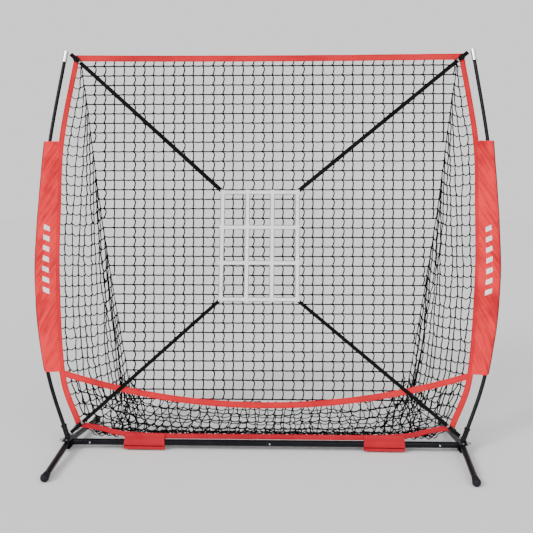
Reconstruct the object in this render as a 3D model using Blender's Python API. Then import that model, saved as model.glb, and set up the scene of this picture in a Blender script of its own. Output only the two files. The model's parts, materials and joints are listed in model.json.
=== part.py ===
"""Bow-frame pitching target net: folding steel base, two leaning poles, net bag, strike zone."""

import math

import bmesh
import bpy
from mathutils import Vector

# ---- driving dimensions, in metres -------------------------------------------------------
HUB_X = 1.011            # hub centre, either side of the middle
BAR_Z = 0.040            # height of the crossbar's centre line
BAR_R = 0.016
BAR_BORE = 0.0143
SPIGOT_R = 0.0139
SPIGOT_BORE = 0.0125
STUB = 0.100             # hub centre to the seam of the crossbar
SPIGOT = 0.060           # length of a spigot inside the crossbar
MID_SEAM_X = 0.016       # seam between the two crossbar halves
COUPLER_HALF = 0.080
GAP = 0.0004             # clearance between pieces that touch

LEG_R = 0.015
LEG_BORE = 0.0135
PIVOT_Y = 0.045          # leg pivot, in front of and behind the crossbar
FOOT_Y = 0.465           # foot centre, in front of and behind the crossbar
FOOT_IN = 0.024          # feet stand this much closer together than the hubs
FOOT_R = 0.0208
FOOT_Z = 0.020
PIN_R = 0.003
PLATE_T = 0.003
PLATE_GAP = 0.017        # crossbar centre line to the inner face of a hub plate
PLATE_X = 0.021
PLATE_Y = 0.064

LEAN = 0.22              # the poles lean back this much for each metre of height
POLE_R = 0.008
POLE_BORE = 0.0055
POLE_LINE = ((1.011, 0.040), (1.145, 0.375), (1.225, 0.760), (1.247, 1.150),
             (1.222, 1.626), (1.171, 2.080), (1.164, 2.143))
POLE_FOOT_Z = 0.060      # the pole's lower end, inside its socket
POLE_HEAD_Z = 2.122
SECTIONS = 3
SOCKET_R = 0.0132
SOCKET_BORE = 0.0088
SOCKET_TOP_Z = 0.122
FERRULE_R = 0.0103
FERRULE_BORE = 0.0089
FERRULE_HALF = 0.032
TIP_FOOT_Z = 2.076
TIP_TOP_Z = 2.143

TRIM_W = 0.026
TRIM_T = 0.0025
TRIM_LINE = ((1.100, 2.088), (1.156, 1.626), (1.150, 1.250), (1.130, 0.860),
             (1.068, 0.375), (0.970, 0.140))
BAND_HALF = 1.113        # outer corner of the top band
BAND_TOP_Z = 2.118
BAND_SAG = 0.006
LIP_MID_Z = 0.224
LIP_RISE = 0.150
LIP_HALF = 1.044
BOTTOM_LINE = ((0.0, 0.070), (0.50, 0.070), (0.73, 0.080), (0.85, 0.106), (0.955, 0.121))
BOTTOM_W = 0.022

SLEEVE_TOP_Z = 1.620
SLEEVE_FOOT_Z = 0.380
SLEEVE_T = 0.0012
SLEEVE_R = 0.0130        # sleeve around the pole
SLEEVE_SLACK = 0.018     # extra width outside the pole at the sleeve's top

NET_T = 0.004
BACK_Y = 0.4545
BACK_TOP_Z = 2.088
BACK_FOOT_Z = 0.082
BACK_HALF_TOP = 1.080
BACK_HALF_FOOT = 0.776
FLOOR_Z = 0.068          # pocket floor above the swing of the folding legs
FLOOR_LOW_Z = 0.022
FLOOR_LOW_HALF = 0.44
FLOOR_RISE_HALF = 0.56

ZONE_X = -0.035
ZONE_Z = 1.045
ZONE_W = 0.434
ZONE_H = 0.610
WEB_W = 0.025
WEB_T = 0.002
FRONT = -0.0060          # strike zone and straps lie this far in front of the trims

TOP_STRAP_END = (1.136, 2.125)
LOW_STRAP_END = (1.003, 0.084)
TOP_STRAP_W = 0.015
LOW_STRAP_W = 0.012
SLIDER_L = 0.022
SLIDER_T = 0.0056
SLIDER_AT = 0.045        # slider's middle, from the strap's outer end

TAB_X = 0.616
TAB_W = 0.207
TAB_R = 0.0168
TAB_T = 0.0020
TAB_HANG_Z = 0.011
TAB_LIP_Y = -0.0185      # front of the flap where it hangs below the crossbar
TAB_FOLD_Y = -0.0145
SEAM_CLEAR = 0.0028      # sleeve seam to the edge of the side trim
BUTTON_R = 0.0040
SPRING_T = 0.0008
SPRING_LEAF = ((-0.006, -0.0082, 0.0028), (0.0296, -0.0012, 0.0024), (0.0308, 0.0, 0.0022),
               (0.0296, 0.0012, 0.0020), (-0.006, 0.0088, 0.0016))     # along, across, half its height
HOOK_LINE = ((1.020, -0.0215, 0.074), (1.046, -0.0185, 0.052), (1.055, -0.0060, 0.049),
             (1.052, 0.0020, 0.056))
HOOK_R = 0.0018
HOOK_START = 0.0035      # gap between the end of a strap and its hook
SIDES = {"left": -1, "right": 1}


# ---- materials ---------------------------------------------------------------------------
def material(name, colour, roughness, metallic=0.0):
    made = bpy.data.materials.get(name)
    if made:
        return made
    made = bpy.data.materials.new(name)
    made.use_nodes = True
    shader = made.node_tree.nodes["Principled BSDF"]
    shader.inputs["Base Color"].default_value = (*colour, 1.0)
    shader.inputs["Roughness"].default_value = roughness
    shader.inputs["Metallic"].default_value = metallic
    return made


def black_steel():
    return material("black_steel", (0.012, 0.013, 0.018), 0.28, 0.4)


def black_pole():
    return material("black_pole", (0.010, 0.010, 0.012), 0.30)


def bright_steel():
    return material("bright_steel", (0.62, 0.63, 0.64), 0.30, 1.0)


def rubber():
    return material("rubber", (0.016, 0.018, 0.024), 0.70)


def red_fabric():
    return material("red_fabric", (0.85, 0.10, 0.10), 0.75)


def netting():
    return material("netting", (0.012, 0.012, 0.012), 0.85)


def white_webbing():
    return material("white_webbing", (0.86, 0.86, 0.85), 0.80)


def black_webbing():
    return material("black_webbing", (0.010, 0.010, 0.010), 0.80)


def black_plastic():
    return material("black_plastic", (0.014, 0.014, 0.015), 0.45)


# ---- shapes ------------------------------------------------------------------------------
def finish(name, mesh, look, at=(0, 0, 0)):
    """Turns a bmesh in world coordinates into an object whose origin is at the given point."""
    bmesh.ops.recalc_face_normals(mesh, faces=mesh.faces)
    bmesh.ops.translate(mesh, verts=mesh.verts, vec=-Vector(at))
    data = bpy.data.meshes.new(name)
    mesh.to_mesh(data)
    mesh.free()
    data.materials.append(look)
    data.shade_smooth()
    data.set_sharp_from_angle(angle=math.radians(40))
    piece = bpy.data.objects.new(name, data)
    piece.location = at
    bpy.context.collection.objects.link(piece)
    return piece


def bridge(mesh, first, second):
    """Joins two rings of the same number of vertices with quads."""
    count = len(first)
    for i in range(count):
        j = (i + 1) % count
        mesh.faces.new((first[i], first[j], second[j], second[i]))


def across_of(direction):
    """Two directions square to this one and to each other."""
    guide = Vector((0, 0, 1)) if abs(direction.z) < 0.9 else Vector((0, 1, 0))
    one = direction.cross(guide).normalized()
    return one, direction.cross(one).normalized()


def tangent(points, i):
    return (points[min(i + 1, len(points) - 1)] - points[max(i - 1, 0)]).normalized()


def ring(mesh, centre, direction, radius, sides):
    one, two = across_of(direction)
    turn = 2 * math.pi / sides
    return [mesh.verts.new(centre + radius * (math.cos(turn * k) * one + math.sin(turn * k) * two))
            for k in range(sides)]


def tube(name, points, outer, inner, look, sides=14, at=(0, 0, 0)):
    """A round tube, or a rod where inner is None, along a smooth line of points."""
    mesh = bmesh.new()
    points = [Vector(p) for p in points]
    skins = []
    for radius in (outer, inner):
        if radius is not None:
            rings = [ring(mesh, p, tangent(points, i), radius, sides) for i, p in enumerate(points)]
            for a, b in zip(rings, rings[1:]):
                bridge(mesh, a, b)
            skins.append(rings)
    if inner is None:
        mesh.faces.new(skins[0][0])
        mesh.faces.new(skins[0][-1])
    else:
        bridge(mesh, skins[0][0], skins[1][0])
        bridge(mesh, skins[0][-1], skins[1][-1])
    return finish(name, mesh, look, at)


def turned(name, base, direction, profile, look, sides=20, at=(0, 0, 0)):
    """A turned piece. The profile gives (distance along the axis, radius); radius 0 is the axis."""
    mesh = bmesh.new()
    base = Vector(base)
    direction = Vector(direction).normalized()
    rings = []
    for along, radius in profile:
        centre = base + along * direction
        if radius == 0:
            rings.append([mesh.verts.new(centre)])
        else:
            rings.append(ring(mesh, centre, direction, radius, sides))
    for a, b in zip(rings, rings[1:]):
        if len(a) == 1:
            for i in range(sides):
                mesh.faces.new((a[0], b[i], b[(i + 1) % sides]))
        elif len(b) == 1:
            for i in range(sides):
                mesh.faces.new((b[0], a[i], a[(i + 1) % sides]))
        else:
            bridge(mesh, a, b)
    return finish(name, mesh, look, at)


def box(name, low, high, look):
    mesh = bmesh.new()
    bmesh.ops.create_cube(mesh, size=1.0)
    size = Vector(high) - Vector(low)
    middle = (Vector(high) + Vector(low)) / 2
    bmesh.ops.scale(mesh, verts=mesh.verts, vec=size)
    bmesh.ops.translate(mesh, verts=mesh.verts, vec=middle)
    return finish(name, mesh, look)


def slab(name, grid, normals, thickness, look):
    """A closed sheet of even thickness over a grid of points, one list for each row."""
    mesh = bmesh.new()
    half = thickness / 2
    front = [[mesh.verts.new(Vector(p) + half * Vector(n)) for p, n in zip(row, ups)]
             for row, ups in zip(grid, normals)]
    back = [[mesh.verts.new(Vector(p) - half * Vector(n)) for p, n in zip(row, ups)]
            for row, ups in zip(grid, normals)]
    rows = len(grid)
    columns = len(grid[0])
    for skin in (front, back):
        for r in range(rows - 1):
            for c in range(columns - 1):
                mesh.faces.new((skin[r][c], skin[r][c + 1], skin[r + 1][c + 1], skin[r + 1][c]))
    rim = [(0, c) for c in range(columns)] + [(r, columns - 1) for r in range(1, rows)]
    rim += [(rows - 1, c) for c in range(columns - 2, -1, -1)] + [(r, 0) for r in range(rows - 2, 0, -1)]
    for (r, c), (s, d) in zip(rim, rim[1:] + rim[:1]):
        mesh.faces.new((front[r][c], front[s][d], back[s][d], back[r][c]))
    return finish(name, mesh, look)


def join_in(piece, others, operation):
    """Adds pieces to, or cuts them from, another piece with Boolean modifiers."""
    for other in others:
        other.hide_render = True
        other.display_type = "WIRE"
        step = piece.modifiers.new(operation.lower() + "_" + other.name, "BOOLEAN")
        step.operation = operation
        step.solver = "EXACT"
        step.object = other


def smooth_line(points, steps):
    """A Catmull-Rom curve through 2-D or 3-D points."""
    points = [Vector(p) for p in points]
    padded = [2 * points[0] - points[1], *points, 2 * points[-1] - points[-2]]
    line = []
    for a, b, c, d in zip(padded, padded[1:], padded[2:], padded[3:]):
        for k in range(steps):
            t = k / steps
            line.append(0.5 * (2 * b + (c - a) * t + (2 * a - 5 * b + 4 * c - d) * t * t
                               + (3 * b - a - 3 * c + d) * t ** 3))
    return line + [points[-1]]


def at_height(line, z):
    """The x of a line of (x, z) points at a given height."""
    for a, b in zip(line, line[1:]):
        low, high = sorted((a[1], b[1]))
        if low <= z <= high and high > low:
            return a[0] + (b[0] - a[0]) * (z - a[1]) / (b[1] - a[1])
    return line[0][0] if abs(z - line[0][1]) < abs(z - line[-1][1]) else line[-1][0]


def leaning(x, z, off=0.0):
    """A point on the leaning front plane, or this far behind it."""
    return Vector((x, LEAN * (z - BAR_Z) + off, z))


POLE_CURVE = smooth_line(POLE_LINE, 8)
TRIM_CURVE = smooth_line(TRIM_LINE, 6)
PLANE_NORMAL = Vector((0, -1, LEAN)).normalized()


def pole_points(side, low_z, high_z, count):
    heights = [low_z + (high_z - low_z) * k / (count - 1) for k in range(count)]
    return [leaning(side * at_height(POLE_CURVE, z), z) for z in heights]


# ---- folding base ------------------------------------------------------------------------
def crossbars():
    end = HUB_X - STUB
    hole_out = end - 0.012
    holes = {"left": [-hole_out], "right": [hole_out, MID_SEAM_X + 0.014]}
    spans = {"left": (-end + GAP, MID_SEAM_X - GAP / 2), "right": (MID_SEAM_X + GAP / 2, end - GAP)}
    for name, (low, high) in spans.items():
        bar = tube(name + "_crossbar", [(low, 0, BAR_Z), (high, 0, BAR_Z)], BAR_R, BAR_BORE,
                   black_steel(), 18)
        cutters = [button_hole(f"{name}_bar_hole_{k}", x) for k, x in enumerate(holes[name])]
        join_in(bar, cutters, "DIFFERENCE")
    coupler = tube("crossbar_coupler", [(MID_SEAM_X - COUPLER_HALF, 0, BAR_Z),
                                        (MID_SEAM_X + COUPLER_HALF, 0, BAR_Z)],
                   SPIGOT_R, SPIGOT_BORE, bright_steel(), 18)
    join_in(coupler, [button_hole("coupler_hole", MID_SEAM_X + 0.014)], "DIFFERENCE")


def button_hole(name, x):
    return tube(name, [(x, -0.030, BAR_Z), (x, -0.004, BAR_Z)], BUTTON_R + GAP, None, black_steel(), 14)


def snap_button(name, x):
    """A spring button in the front of a tube, and the bent leaf that pushes it out."""
    profile = ((-0.0190, 0), (-0.0186, 0.0022), (-0.0172, BUTTON_R), (-0.0106, BUTTON_R),
               (-0.0106, 0.0052), (-0.0094, 0.0052), (-0.0094, 0))
    turned(name + "_snap_button", (x, 0, BAR_Z), (0, 1, 0), profile, bright_steel(), 10,
           at=(x, 0, BAR_Z))
    inward = -1 if x > 0.5 else 1
    leaf = [Vector((x + inward * px, py, 0)) for px, py, height in SPRING_LEAF]
    rows = [[p + Vector((0, 0, BAR_Z + way * height)) for p, (px, py, height) in zip(leaf, SPRING_LEAF)]
            for way in (-1, 1)]
    ups = [tangent(leaf, i).cross(Vector((0, 0, 1))) for i in range(len(leaf))]
    slab(name + "_button_spring", rows, [ups, ups], SPRING_T, bright_steel())


def hub(name, side):
    """The welded hub: spigot and stub, two hinge plates with a web, and the leaning pole socket."""
    centre = side * HUB_X
    seam = -STUB
    profile = ((-0.030, 0), (-0.030, SPIGOT_BORE), (seam - SPIGOT, SPIGOT_BORE),
               (seam - SPIGOT, SPIGOT_R), (seam, SPIGOT_R), (seam, BAR_R), (0.020, BAR_R), (0.020, 0))
    body = turned(name + "_hub", (centre, 0, BAR_Z), (side, 0, 0), profile, black_steel(), 18)
    web = box(name + "_web", (centre - 0.019, -0.020, BAR_Z - PLATE_GAP - 0.001),
              (centre + 0.019, 0.020, BAR_Z + PLATE_GAP + 0.001), black_steel())
    plates = [box(f"{name}_plate_{k}", (centre - PLATE_X, -PLATE_Y, BAR_Z + low),
                  (centre + PLATE_X, PLATE_Y, BAR_Z + low + PLATE_T), black_steel())
              for k, low in enumerate((-PLATE_GAP - PLATE_T, PLATE_GAP))]
    foot, head = pole_points(side, BAR_Z + 0.012, SOCKET_TOP_Z, 2)
    lean = (head - foot).normalized()
    socket = tube(name + "_socket_wall", [foot, head], SOCKET_R, None, black_steel(), 18)
    collar = tube(name + "_socket_collar", [head - 0.012 * lean, head + 0.0005 * lean], 0.0155, None,
                  black_steel(), 18)
    join_in(body, [web, *plates, socket, collar], "UNION")
    bore_foot = pole_points(side, POLE_FOOT_Z - 0.001, SOCKET_TOP_Z, 2)[0]
    bore = tube(name + "_socket_bore", [bore_foot, head + 0.02 * lean], SOCKET_BORE, None,
                black_steel(), 18)
    pin_holes = [tube(f"{name}_pin_hole_{k}", [(centre, y, 0), (centre, y, 0.08)], PIN_R + GAP, None,
                      black_steel(), 14) for k, y in enumerate((-PIVOT_Y, PIVOT_Y))]
    button = button_hole(name + "_spigot_hole", centre - side * (STUB + 0.012))
    join_in(body, [bore, *pin_holes, button], "DIFFERENCE")


def leg(name, side, way):
    """A folding leg with its rubber foot and hinge pin. Way is -1 in front and 1 behind."""
    pivot = Vector((side * HUB_X, way * PIVOT_Y, BAR_Z))
    foot = Vector((side * (HUB_X - FOOT_IN), way * FOOT_Y, FOOT_Z))
    along = (foot - pivot).normalized()
    limb = tube(name + "_leg", [pivot - 0.015 * along, foot - 0.002 * along], LEG_R, LEG_BORE,
                black_steel(), 14, at=pivot)
    hole = tube(name + "_leg_hole", [(pivot.x, pivot.y, 0), (pivot.x, pivot.y, 0.08)], PIN_R + GAP, None,
                black_steel(), 14)
    join_in(limb, [hole], "DIFFERENCE")
    ball = [(FOOT_R * math.sin(math.radians(a)), FOOT_R * math.cos(math.radians(a)))
            for a in (-22, 0, 20, 40, 60, 78)]
    profile = [(-0.0010, 0), (-0.0010, LEG_R + GAP), (-0.036, LEG_R + GAP), (-0.036, 0.0172),
               (-0.012, 0.0180), *ball, (FOOT_R, 0)]
    cap = turned(name + "_foot", foot, along, profile, rubber(), 16, at=pivot)
    ground = box(name + "_foot_flat", foot - Vector((0.05, 0.05, 0.05 + FOOT_Z)),
                 foot + Vector((0.05, 0.05, -FOOT_Z)), rubber())
    join_in(cap, [ground], "DIFFERENCE")
    head = PLATE_GAP + PLATE_T + GAP
    turned(name + "_leg_pin", (pivot.x, pivot.y, BAR_Z), (0, 0, 1),
           ((-head - 0.0026, 0), (-head - 0.0026, 0.0045), (-head - 0.0012, 0.0060), (-head, 0.0060),
            (-head, PIN_R), (head, PIN_R), (head, 0.0060), (head + 0.0012, 0.0060),
            (head + 0.0026, 0.0045), (head + 0.0026, 0)), bright_steel(), 10)


# ---- poles -------------------------------------------------------------------------------
def pole(name, side):
    step = (POLE_HEAD_Z - POLE_FOOT_Z) / SECTIONS
    for k in range(SECTIONS):
        low = POLE_FOOT_Z + k * step + GAP / 2
        high = POLE_FOOT_Z + (k + 1) * step - GAP / 2
        tube(f"{name}_pole_section_{k + 1}", pole_points(side, low, high, 8), POLE_R, POLE_BORE,
             black_pole(), 10)
    for k in range(1, SECTIONS):
        joint = POLE_FOOT_Z + k * step
        tube(f"{name}_pole_ferrule_{k}", pole_points(side, joint - FERRULE_HALF, joint + FERRULE_HALF, 3),
             FERRULE_R, FERRULE_BORE, bright_steel(), 12)
    foot, top = pole_points(side, TIP_FOOT_Z, TIP_TOP_Z, 2)
    reach = (top - foot).length
    bore = (pole_points(side, TIP_FOOT_Z, POLE_HEAD_Z + 0.0005, 2)[1] - foot).length
    profile = ((bore, 0), (bore, 0.0085), (0, 0.0085), (0, 0.0098), (reach - 0.018, 0.0098),
               (reach - 0.016, 0.0088), (reach - 0.012, 0.0045), (reach - 0.009, 0.0045),
               (reach - 0.006, 0.0078), (reach - 0.002, 0.0074), (reach, 0.0050), (reach, 0))
    turned(name + "_pole_tip", foot, top - foot, profile, bright_steel(), 12)


# ---- net bag -----------------------------------------------------------------------------
def ribbon(name, points, width, look, thickness=TRIM_T, normal=PLANE_NORMAL):
    """A flat band along a line that lies in the front plane."""
    points = [Vector(p) for p in points]
    low = []
    high = []
    for i, p in enumerate(points):
        side = normal.cross(tangent(points, i)).normalized()
        low.append(p - width / 2 * side)
        high.append(p + width / 2 * side)
    ups = [[normal] * len(points)] * 2
    return slab(name, [low, high], ups, thickness, look)


def trims():
    count = 16
    xs = [BAND_HALF * (2 * k / count - 1) for k in range(count + 1)]
    mid = BAND_TOP_Z - TRIM_W / 2
    ribbon("top_trim", [leaning(x, mid - BAND_SAG * (1 - (x / BAND_HALF) ** 2)) for x in xs], TRIM_W,
           red_fabric())
    for name, side in SIDES.items():
        ribbon(name + "_side_trim", [leaning(side * p.x, p.y) for p in TRIM_CURVE], TRIM_W, red_fabric())
    xs = [LIP_HALF * (2 * k / count - 1) for k in range(count + 1)]
    ribbon("pocket_lip_trim", [leaning(x, lip_height(x)) for x in xs], TRIM_W, red_fabric())
    half = smooth_line(BOTTOM_LINE, 4)
    line = [(-p.x, p.y) for p in half[:0:-1]] + [(p.x, p.y) for p in half]
    ribbon("bottom_trim", [bottom_point(x, z) for x, z in line], BOTTOM_W, red_fabric(),
           normal=Vector((0, -1, 0.3)).normalized())


def lip_height(x):
    return LIP_MID_Z + LIP_RISE * (x / LIP_HALF) ** 2


def bottom_point(x, z):
    return Vector((x, 0.006 + 0.14 * (z - BAR_Z), z))


def sleeve(name, side):
    """A fabric tube round the pole that narrows to the seam on its inner side."""
    mesh = bmesh.new()
    rows = 11
    outer = []
    inner = []
    for k in range(rows):
        z = SLEEVE_FOOT_Z + (SLEEVE_TOP_Z - SLEEVE_FOOT_Z) * k / (rows - 1)
        pole_x = at_height(POLE_CURVE, z)
        seam_x = at_height(TRIM_CURVE, z) + TRIM_W / 2 + SEAM_CLEAR
        slack = SLEEVE_SLACK * max(0.0, (z - 1.15) / (SLEEVE_TOP_Z - 1.15)) ** 1.5
        outer.append(sleeve_ring(mesh, side, z, pole_x, seam_x, SLEEVE_R, slack, 0.0))
        inner.append(sleeve_ring(mesh, side, z, pole_x, seam_x + 0.006, SLEEVE_R - SLEEVE_T, slack,
                                 SLEEVE_T))
    for skin in (outer, inner):
        for a, b in zip(skin, skin[1:]):
            bridge(mesh, a, b)
    bridge(mesh, outer[0], inner[0])
    bridge(mesh, outer[-1], inner[-1])
    finish(name + "_pole_sleeve", mesh, red_fabric())


def sleeve_ring(mesh, side, z, pole_x, seam_x, radius, slack, wall):
    """One outline of the sleeve: a half round outside the pole, drawn in to a thin seam."""
    corners = []
    for a in (-90, -60, -30, 0, 30, 60, 90):
        turn = math.radians(a)
        reach = radius * math.cos(turn) + (slack if abs(a) < 90 else 0.5 * slack)
        corners.append((pole_x + reach, radius * math.sin(turn)))
    for part in (0.35, 0.7):
        corners.append((pole_x + (seam_x - pole_x) * part, radius * (1 - 0.9 * part)))
    corners.append((seam_x, 0.0016 - wall * 0.6))
    corners.append((seam_x, -0.0016 + wall * 0.6))
    for part in (0.7, 0.35):
        corners.append((pole_x + (seam_x - pole_x) * part, -radius * (1 - 0.9 * part)))
    return [mesh.verts.new(leaning(side * x, z, off)) for x, off in corners]


def back_half(z):
    return BACK_HALF_FOOT + (BACK_HALF_TOP - BACK_HALF_FOOT) * (z - BACK_FOOT_Z) / (BACK_TOP_Z - BACK_FOOT_Z)


def nets():
    toward = Vector((0, -1, 0))
    rows = [[(-back_half(z), BACK_Y, z), (back_half(z), BACK_Y, z)] for z in (BACK_TOP_Z, BACK_FOOT_Z)]
    slab("back_net", rows, [[toward] * 2] * 2, NET_T, netting())
    for name, side in SIDES.items():
        side_net(name, side)
    pocket_front()
    pocket_floor()


def side_net(name, side):
    """A side wall of the bag, from the leaning side trim back to the upright back net."""
    grid = []
    ups = []
    levels = 9
    for k in range(levels):
        z = 0.150 + (2.030 - 0.150) * k / (levels - 1)
        front = leaning(side * (at_height(TRIM_CURVE, z) - TRIM_W / 2 - 0.004), z, 0.003)
        back = Vector((side * (back_half(z) + 0.005), BACK_Y - 0.006, z))
        fold = front.lerp(back, 0.45)
        fold.y = front.y + 0.25 * (back.y - front.y)
        grid.append([front, fold, back])
        slope = (back - front).cross(Vector((0, 0, 1))).normalized()
        ups.append([slope] * 3)
    slab(name + "_side_net", grid, ups, NET_T, netting())


def pocket_front():
    """The net panel between the lip and the bottom trim, which holds the balls in."""
    half = smooth_line(BOTTOM_LINE, 8)
    foot_line = [(p.y, p.x) for p in half]
    columns = 13
    top = []
    low = []
    for k in range(columns):
        part = 2 * k / (columns - 1) - 1
        high_x = part * (at_height(TRIM_CURVE, 0.345) - TRIM_W / 2 - 0.010)
        low_x = part * 0.925
        low_z = at_height([(z, x) for z, x in foot_line], abs(low_x)) + BOTTOM_W / 2 + 0.004
        top.append(leaning(high_x, lip_height(high_x) - TRIM_W / 2 - 0.004))
        low.append(leaning(low_x, low_z, 0.004))
    slab("pocket_front_net", [top, low], [[PLANE_NORMAL] * columns] * 2, NET_T, netting())


def pocket_floor():
    """The floor of the pocket: clear of the folding legs at the sides, low in the middle."""
    rows = 7
    columns = 15
    front_y = 0.036
    back_y = BACK_Y - 0.006
    grid = []
    for r in range(rows):
        depth = r / (rows - 1)
        y = front_y + (back_y - front_y) * depth
        half = 0.900 - (0.900 - BACK_HALF_FOOT + 0.012) * depth
        row = []
        for c in range(columns):
            x = half * (2 * c / (columns - 1) - 1)
            side = min(1.0, max(0.0, (abs(x) - FLOOR_LOW_HALF) / (FLOOR_RISE_HALF - FLOOR_LOW_HALF)))
            ease = side * side * (3 - 2 * side)
            low = FLOOR_LOW_Z + (FLOOR_Z - FLOOR_LOW_Z) * ease
            drop = math.sin(math.pi * min(1.0, max(0.0, depth * 1.08 - 0.04))) ** 0.6
            row.append((x, y, FLOOR_Z + (low - FLOOR_Z) * drop))
        grid.append(row)
    slab("pocket_floor_net", grid, [[Vector((0, 0, 1))] * columns] * rows, NET_T, netting())


# ---- strike zone, straps and tabs --------------------------------------------------------
def zone_point(u, v):
    """A point of the strike zone: u to the right, v up along the leaning plane."""
    lift = Vector((0, LEAN, 1)).normalized()
    return leaning(ZONE_X, ZONE_Z, FRONT) + Vector((u, 0, 0)) + v * lift


def strike_zone():
    """Four upright and four level strips of webbing sewn into nine windows."""
    def cuts(length):
        pitch = (length - WEB_W) / 3
        marks = []
        for k in range(4):
            middle = -length / 2 + WEB_W / 2 + k * pitch
            marks += [middle - WEB_W / 2, middle + WEB_W / 2]
        return marks
    across = cuts(ZONE_W)
    up = cuts(ZONE_H)
    mesh = bmesh.new()
    half = WEB_T / 2 * PLANE_NORMAL
    skins = [[[mesh.verts.new(zone_point(u, v) + way * half) for u in across] for v in up]
             for way in (1, -1)]
    filled = {(r, c) for r in range(7) for c in range(7) if r % 2 == 0 or c % 2 == 0}
    for r, c in sorted(filled):
        for skin in skins:
            mesh.faces.new((skin[r][c], skin[r][c + 1], skin[r + 1][c + 1], skin[r + 1][c]))
        edges = {(-1, 0): ((r, c), (r, c + 1)), (1, 0): ((r + 1, c), (r + 1, c + 1)),
                 (0, -1): ((r, c), (r + 1, c)), (0, 1): ((r, c + 1), (r + 1, c + 1))}
        for (dr, dc), (a, b) in edges.items():
            if (r + dr, c + dc) not in filled:
                mesh.faces.new((skins[0][a[0]][a[1]], skins[0][b[0]][b[1]],
                                skins[1][b[0]][b[1]], skins[1][a[0]][a[1]]))
    finish("strike_zone", mesh, white_webbing())


def strap(name, side, top):
    """An elastic strap from a corner of the strike zone to a corner of the frame, with a slider."""
    end_x, end_z = TOP_STRAP_END if top else LOW_STRAP_END
    outer = leaning(side * end_x, end_z, FRONT)
    corner = zone_point(side * ZONE_W / 2, (1 if top else -1) * ZONE_H / 2)
    along = (corner - outer).normalized()
    inner = corner - 0.012 * along
    width = TOP_STRAP_W if top else LOW_STRAP_W
    ribbon(name + "_strap", [outer, inner], width, black_webbing(), WEB_T)
    middle = outer + SLIDER_AT * along
    ends = [middle - SLIDER_L / 2 * along, middle + SLIDER_L / 2 * along]
    mesh = bmesh.new()
    across = PLANE_NORMAL.cross(along).normalized()
    loops = []
    for half_w, half_t in ((width / 2 + 0.0045, SLIDER_T / 2), (width / 2 + 0.0006, WEB_T / 2 + 0.0005)):
        for p in ends:
            loops.append([mesh.verts.new(p + a * half_w * across + b * half_t * PLANE_NORMAL)
                          for a, b in ((-1, -1), (1, -1), (1, 1), (-1, 1))])
    bridge(mesh, loops[0], loops[1])
    bridge(mesh, loops[2], loops[3])
    bridge(mesh, loops[0], loops[2])
    bridge(mesh, loops[1], loops[3])
    finish(name + "_strap_slider", mesh, black_plastic(), middle)
    return outer, along


def hook(name, side, end, along):
    """The wire hook that holds a lower strap to the hub's socket."""
    start = end - HOOK_START * along
    bends = [Vector((side * x, y, z)) for x, y, z in HOOK_LINE]
    tube(name + "_strap_hook", smooth_line([start, *bends], 4), HOOK_R, None, bright_steel(), 8)


def tab(name, side):
    """A flap of the bottom trim that wraps the crossbar and closes on itself below it."""
    mesh = bmesh.new()
    angles = [math.radians(15 + 30 * k) for k in range(12)]
    hole = [(TAB_R * math.cos(a), TAB_R * math.sin(a)) for a in angles]
    skin = []
    for a in angles:
        y = (TAB_R + TAB_T) * math.cos(a)
        z = (TAB_R + TAB_T) * math.sin(a)
        if 200 < math.degrees(a) < 250:
            y, z = TAB_LIP_Y, TAB_HANG_Z - BAR_Z
        elif 250 < math.degrees(a) < 260:
            y, z = TAB_FOLD_Y, TAB_HANG_Z - BAR_Z
        skin.append((y, z))
    rings = []
    for outline in (skin, hole):
        for way in (-1, 1):
            x = side * TAB_X + way * TAB_W / 2
            rings.append([mesh.verts.new((x, y, BAR_Z + z)) for y, z in outline])
    bridge(mesh, rings[0], rings[1])
    bridge(mesh, rings[2], rings[3])
    bridge(mesh, rings[0], rings[2])
    bridge(mesh, rings[1], rings[3])
    finish(name + "_crossbar_tab", mesh, red_fabric())


def main():
    for old in list(bpy.data.objects):
        bpy.data.objects.remove(old)
    crossbars()
    out = HUB_X - STUB - 0.012
    for name, x in (("left", -out), ("middle", MID_SEAM_X + 0.014), ("right", out)):
        snap_button(name, x)
    for name, side in SIDES.items():
        hub(name, side)
        leg(name + "_front", side, -1)
        leg(name + "_rear", side, 1)
        pole(name, side)
        sleeve(name, side)
        tab(name, side)
        strap(name + "_upper", side, True)
        end, along = strap(name + "_lower", side, False)
        hook(name, side, end, along)
    trims()
    nets()
    strike_zone()


main()
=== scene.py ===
# %% [markdown]
# # A leaning pitching net, piece by piece
#
# The steel base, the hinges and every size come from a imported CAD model. This lesson loads that model as a
# fixed frame and then makes the looks: cloth trims and sleeves, a knotted net that hangs unevenly, woven
# straps, and coated tubes. Each step says what the piece is and why it is made that way.

# %% Load the frame
import json
import math

import bmesh
import bpy
import numpy as np
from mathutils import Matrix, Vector, noise


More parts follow.
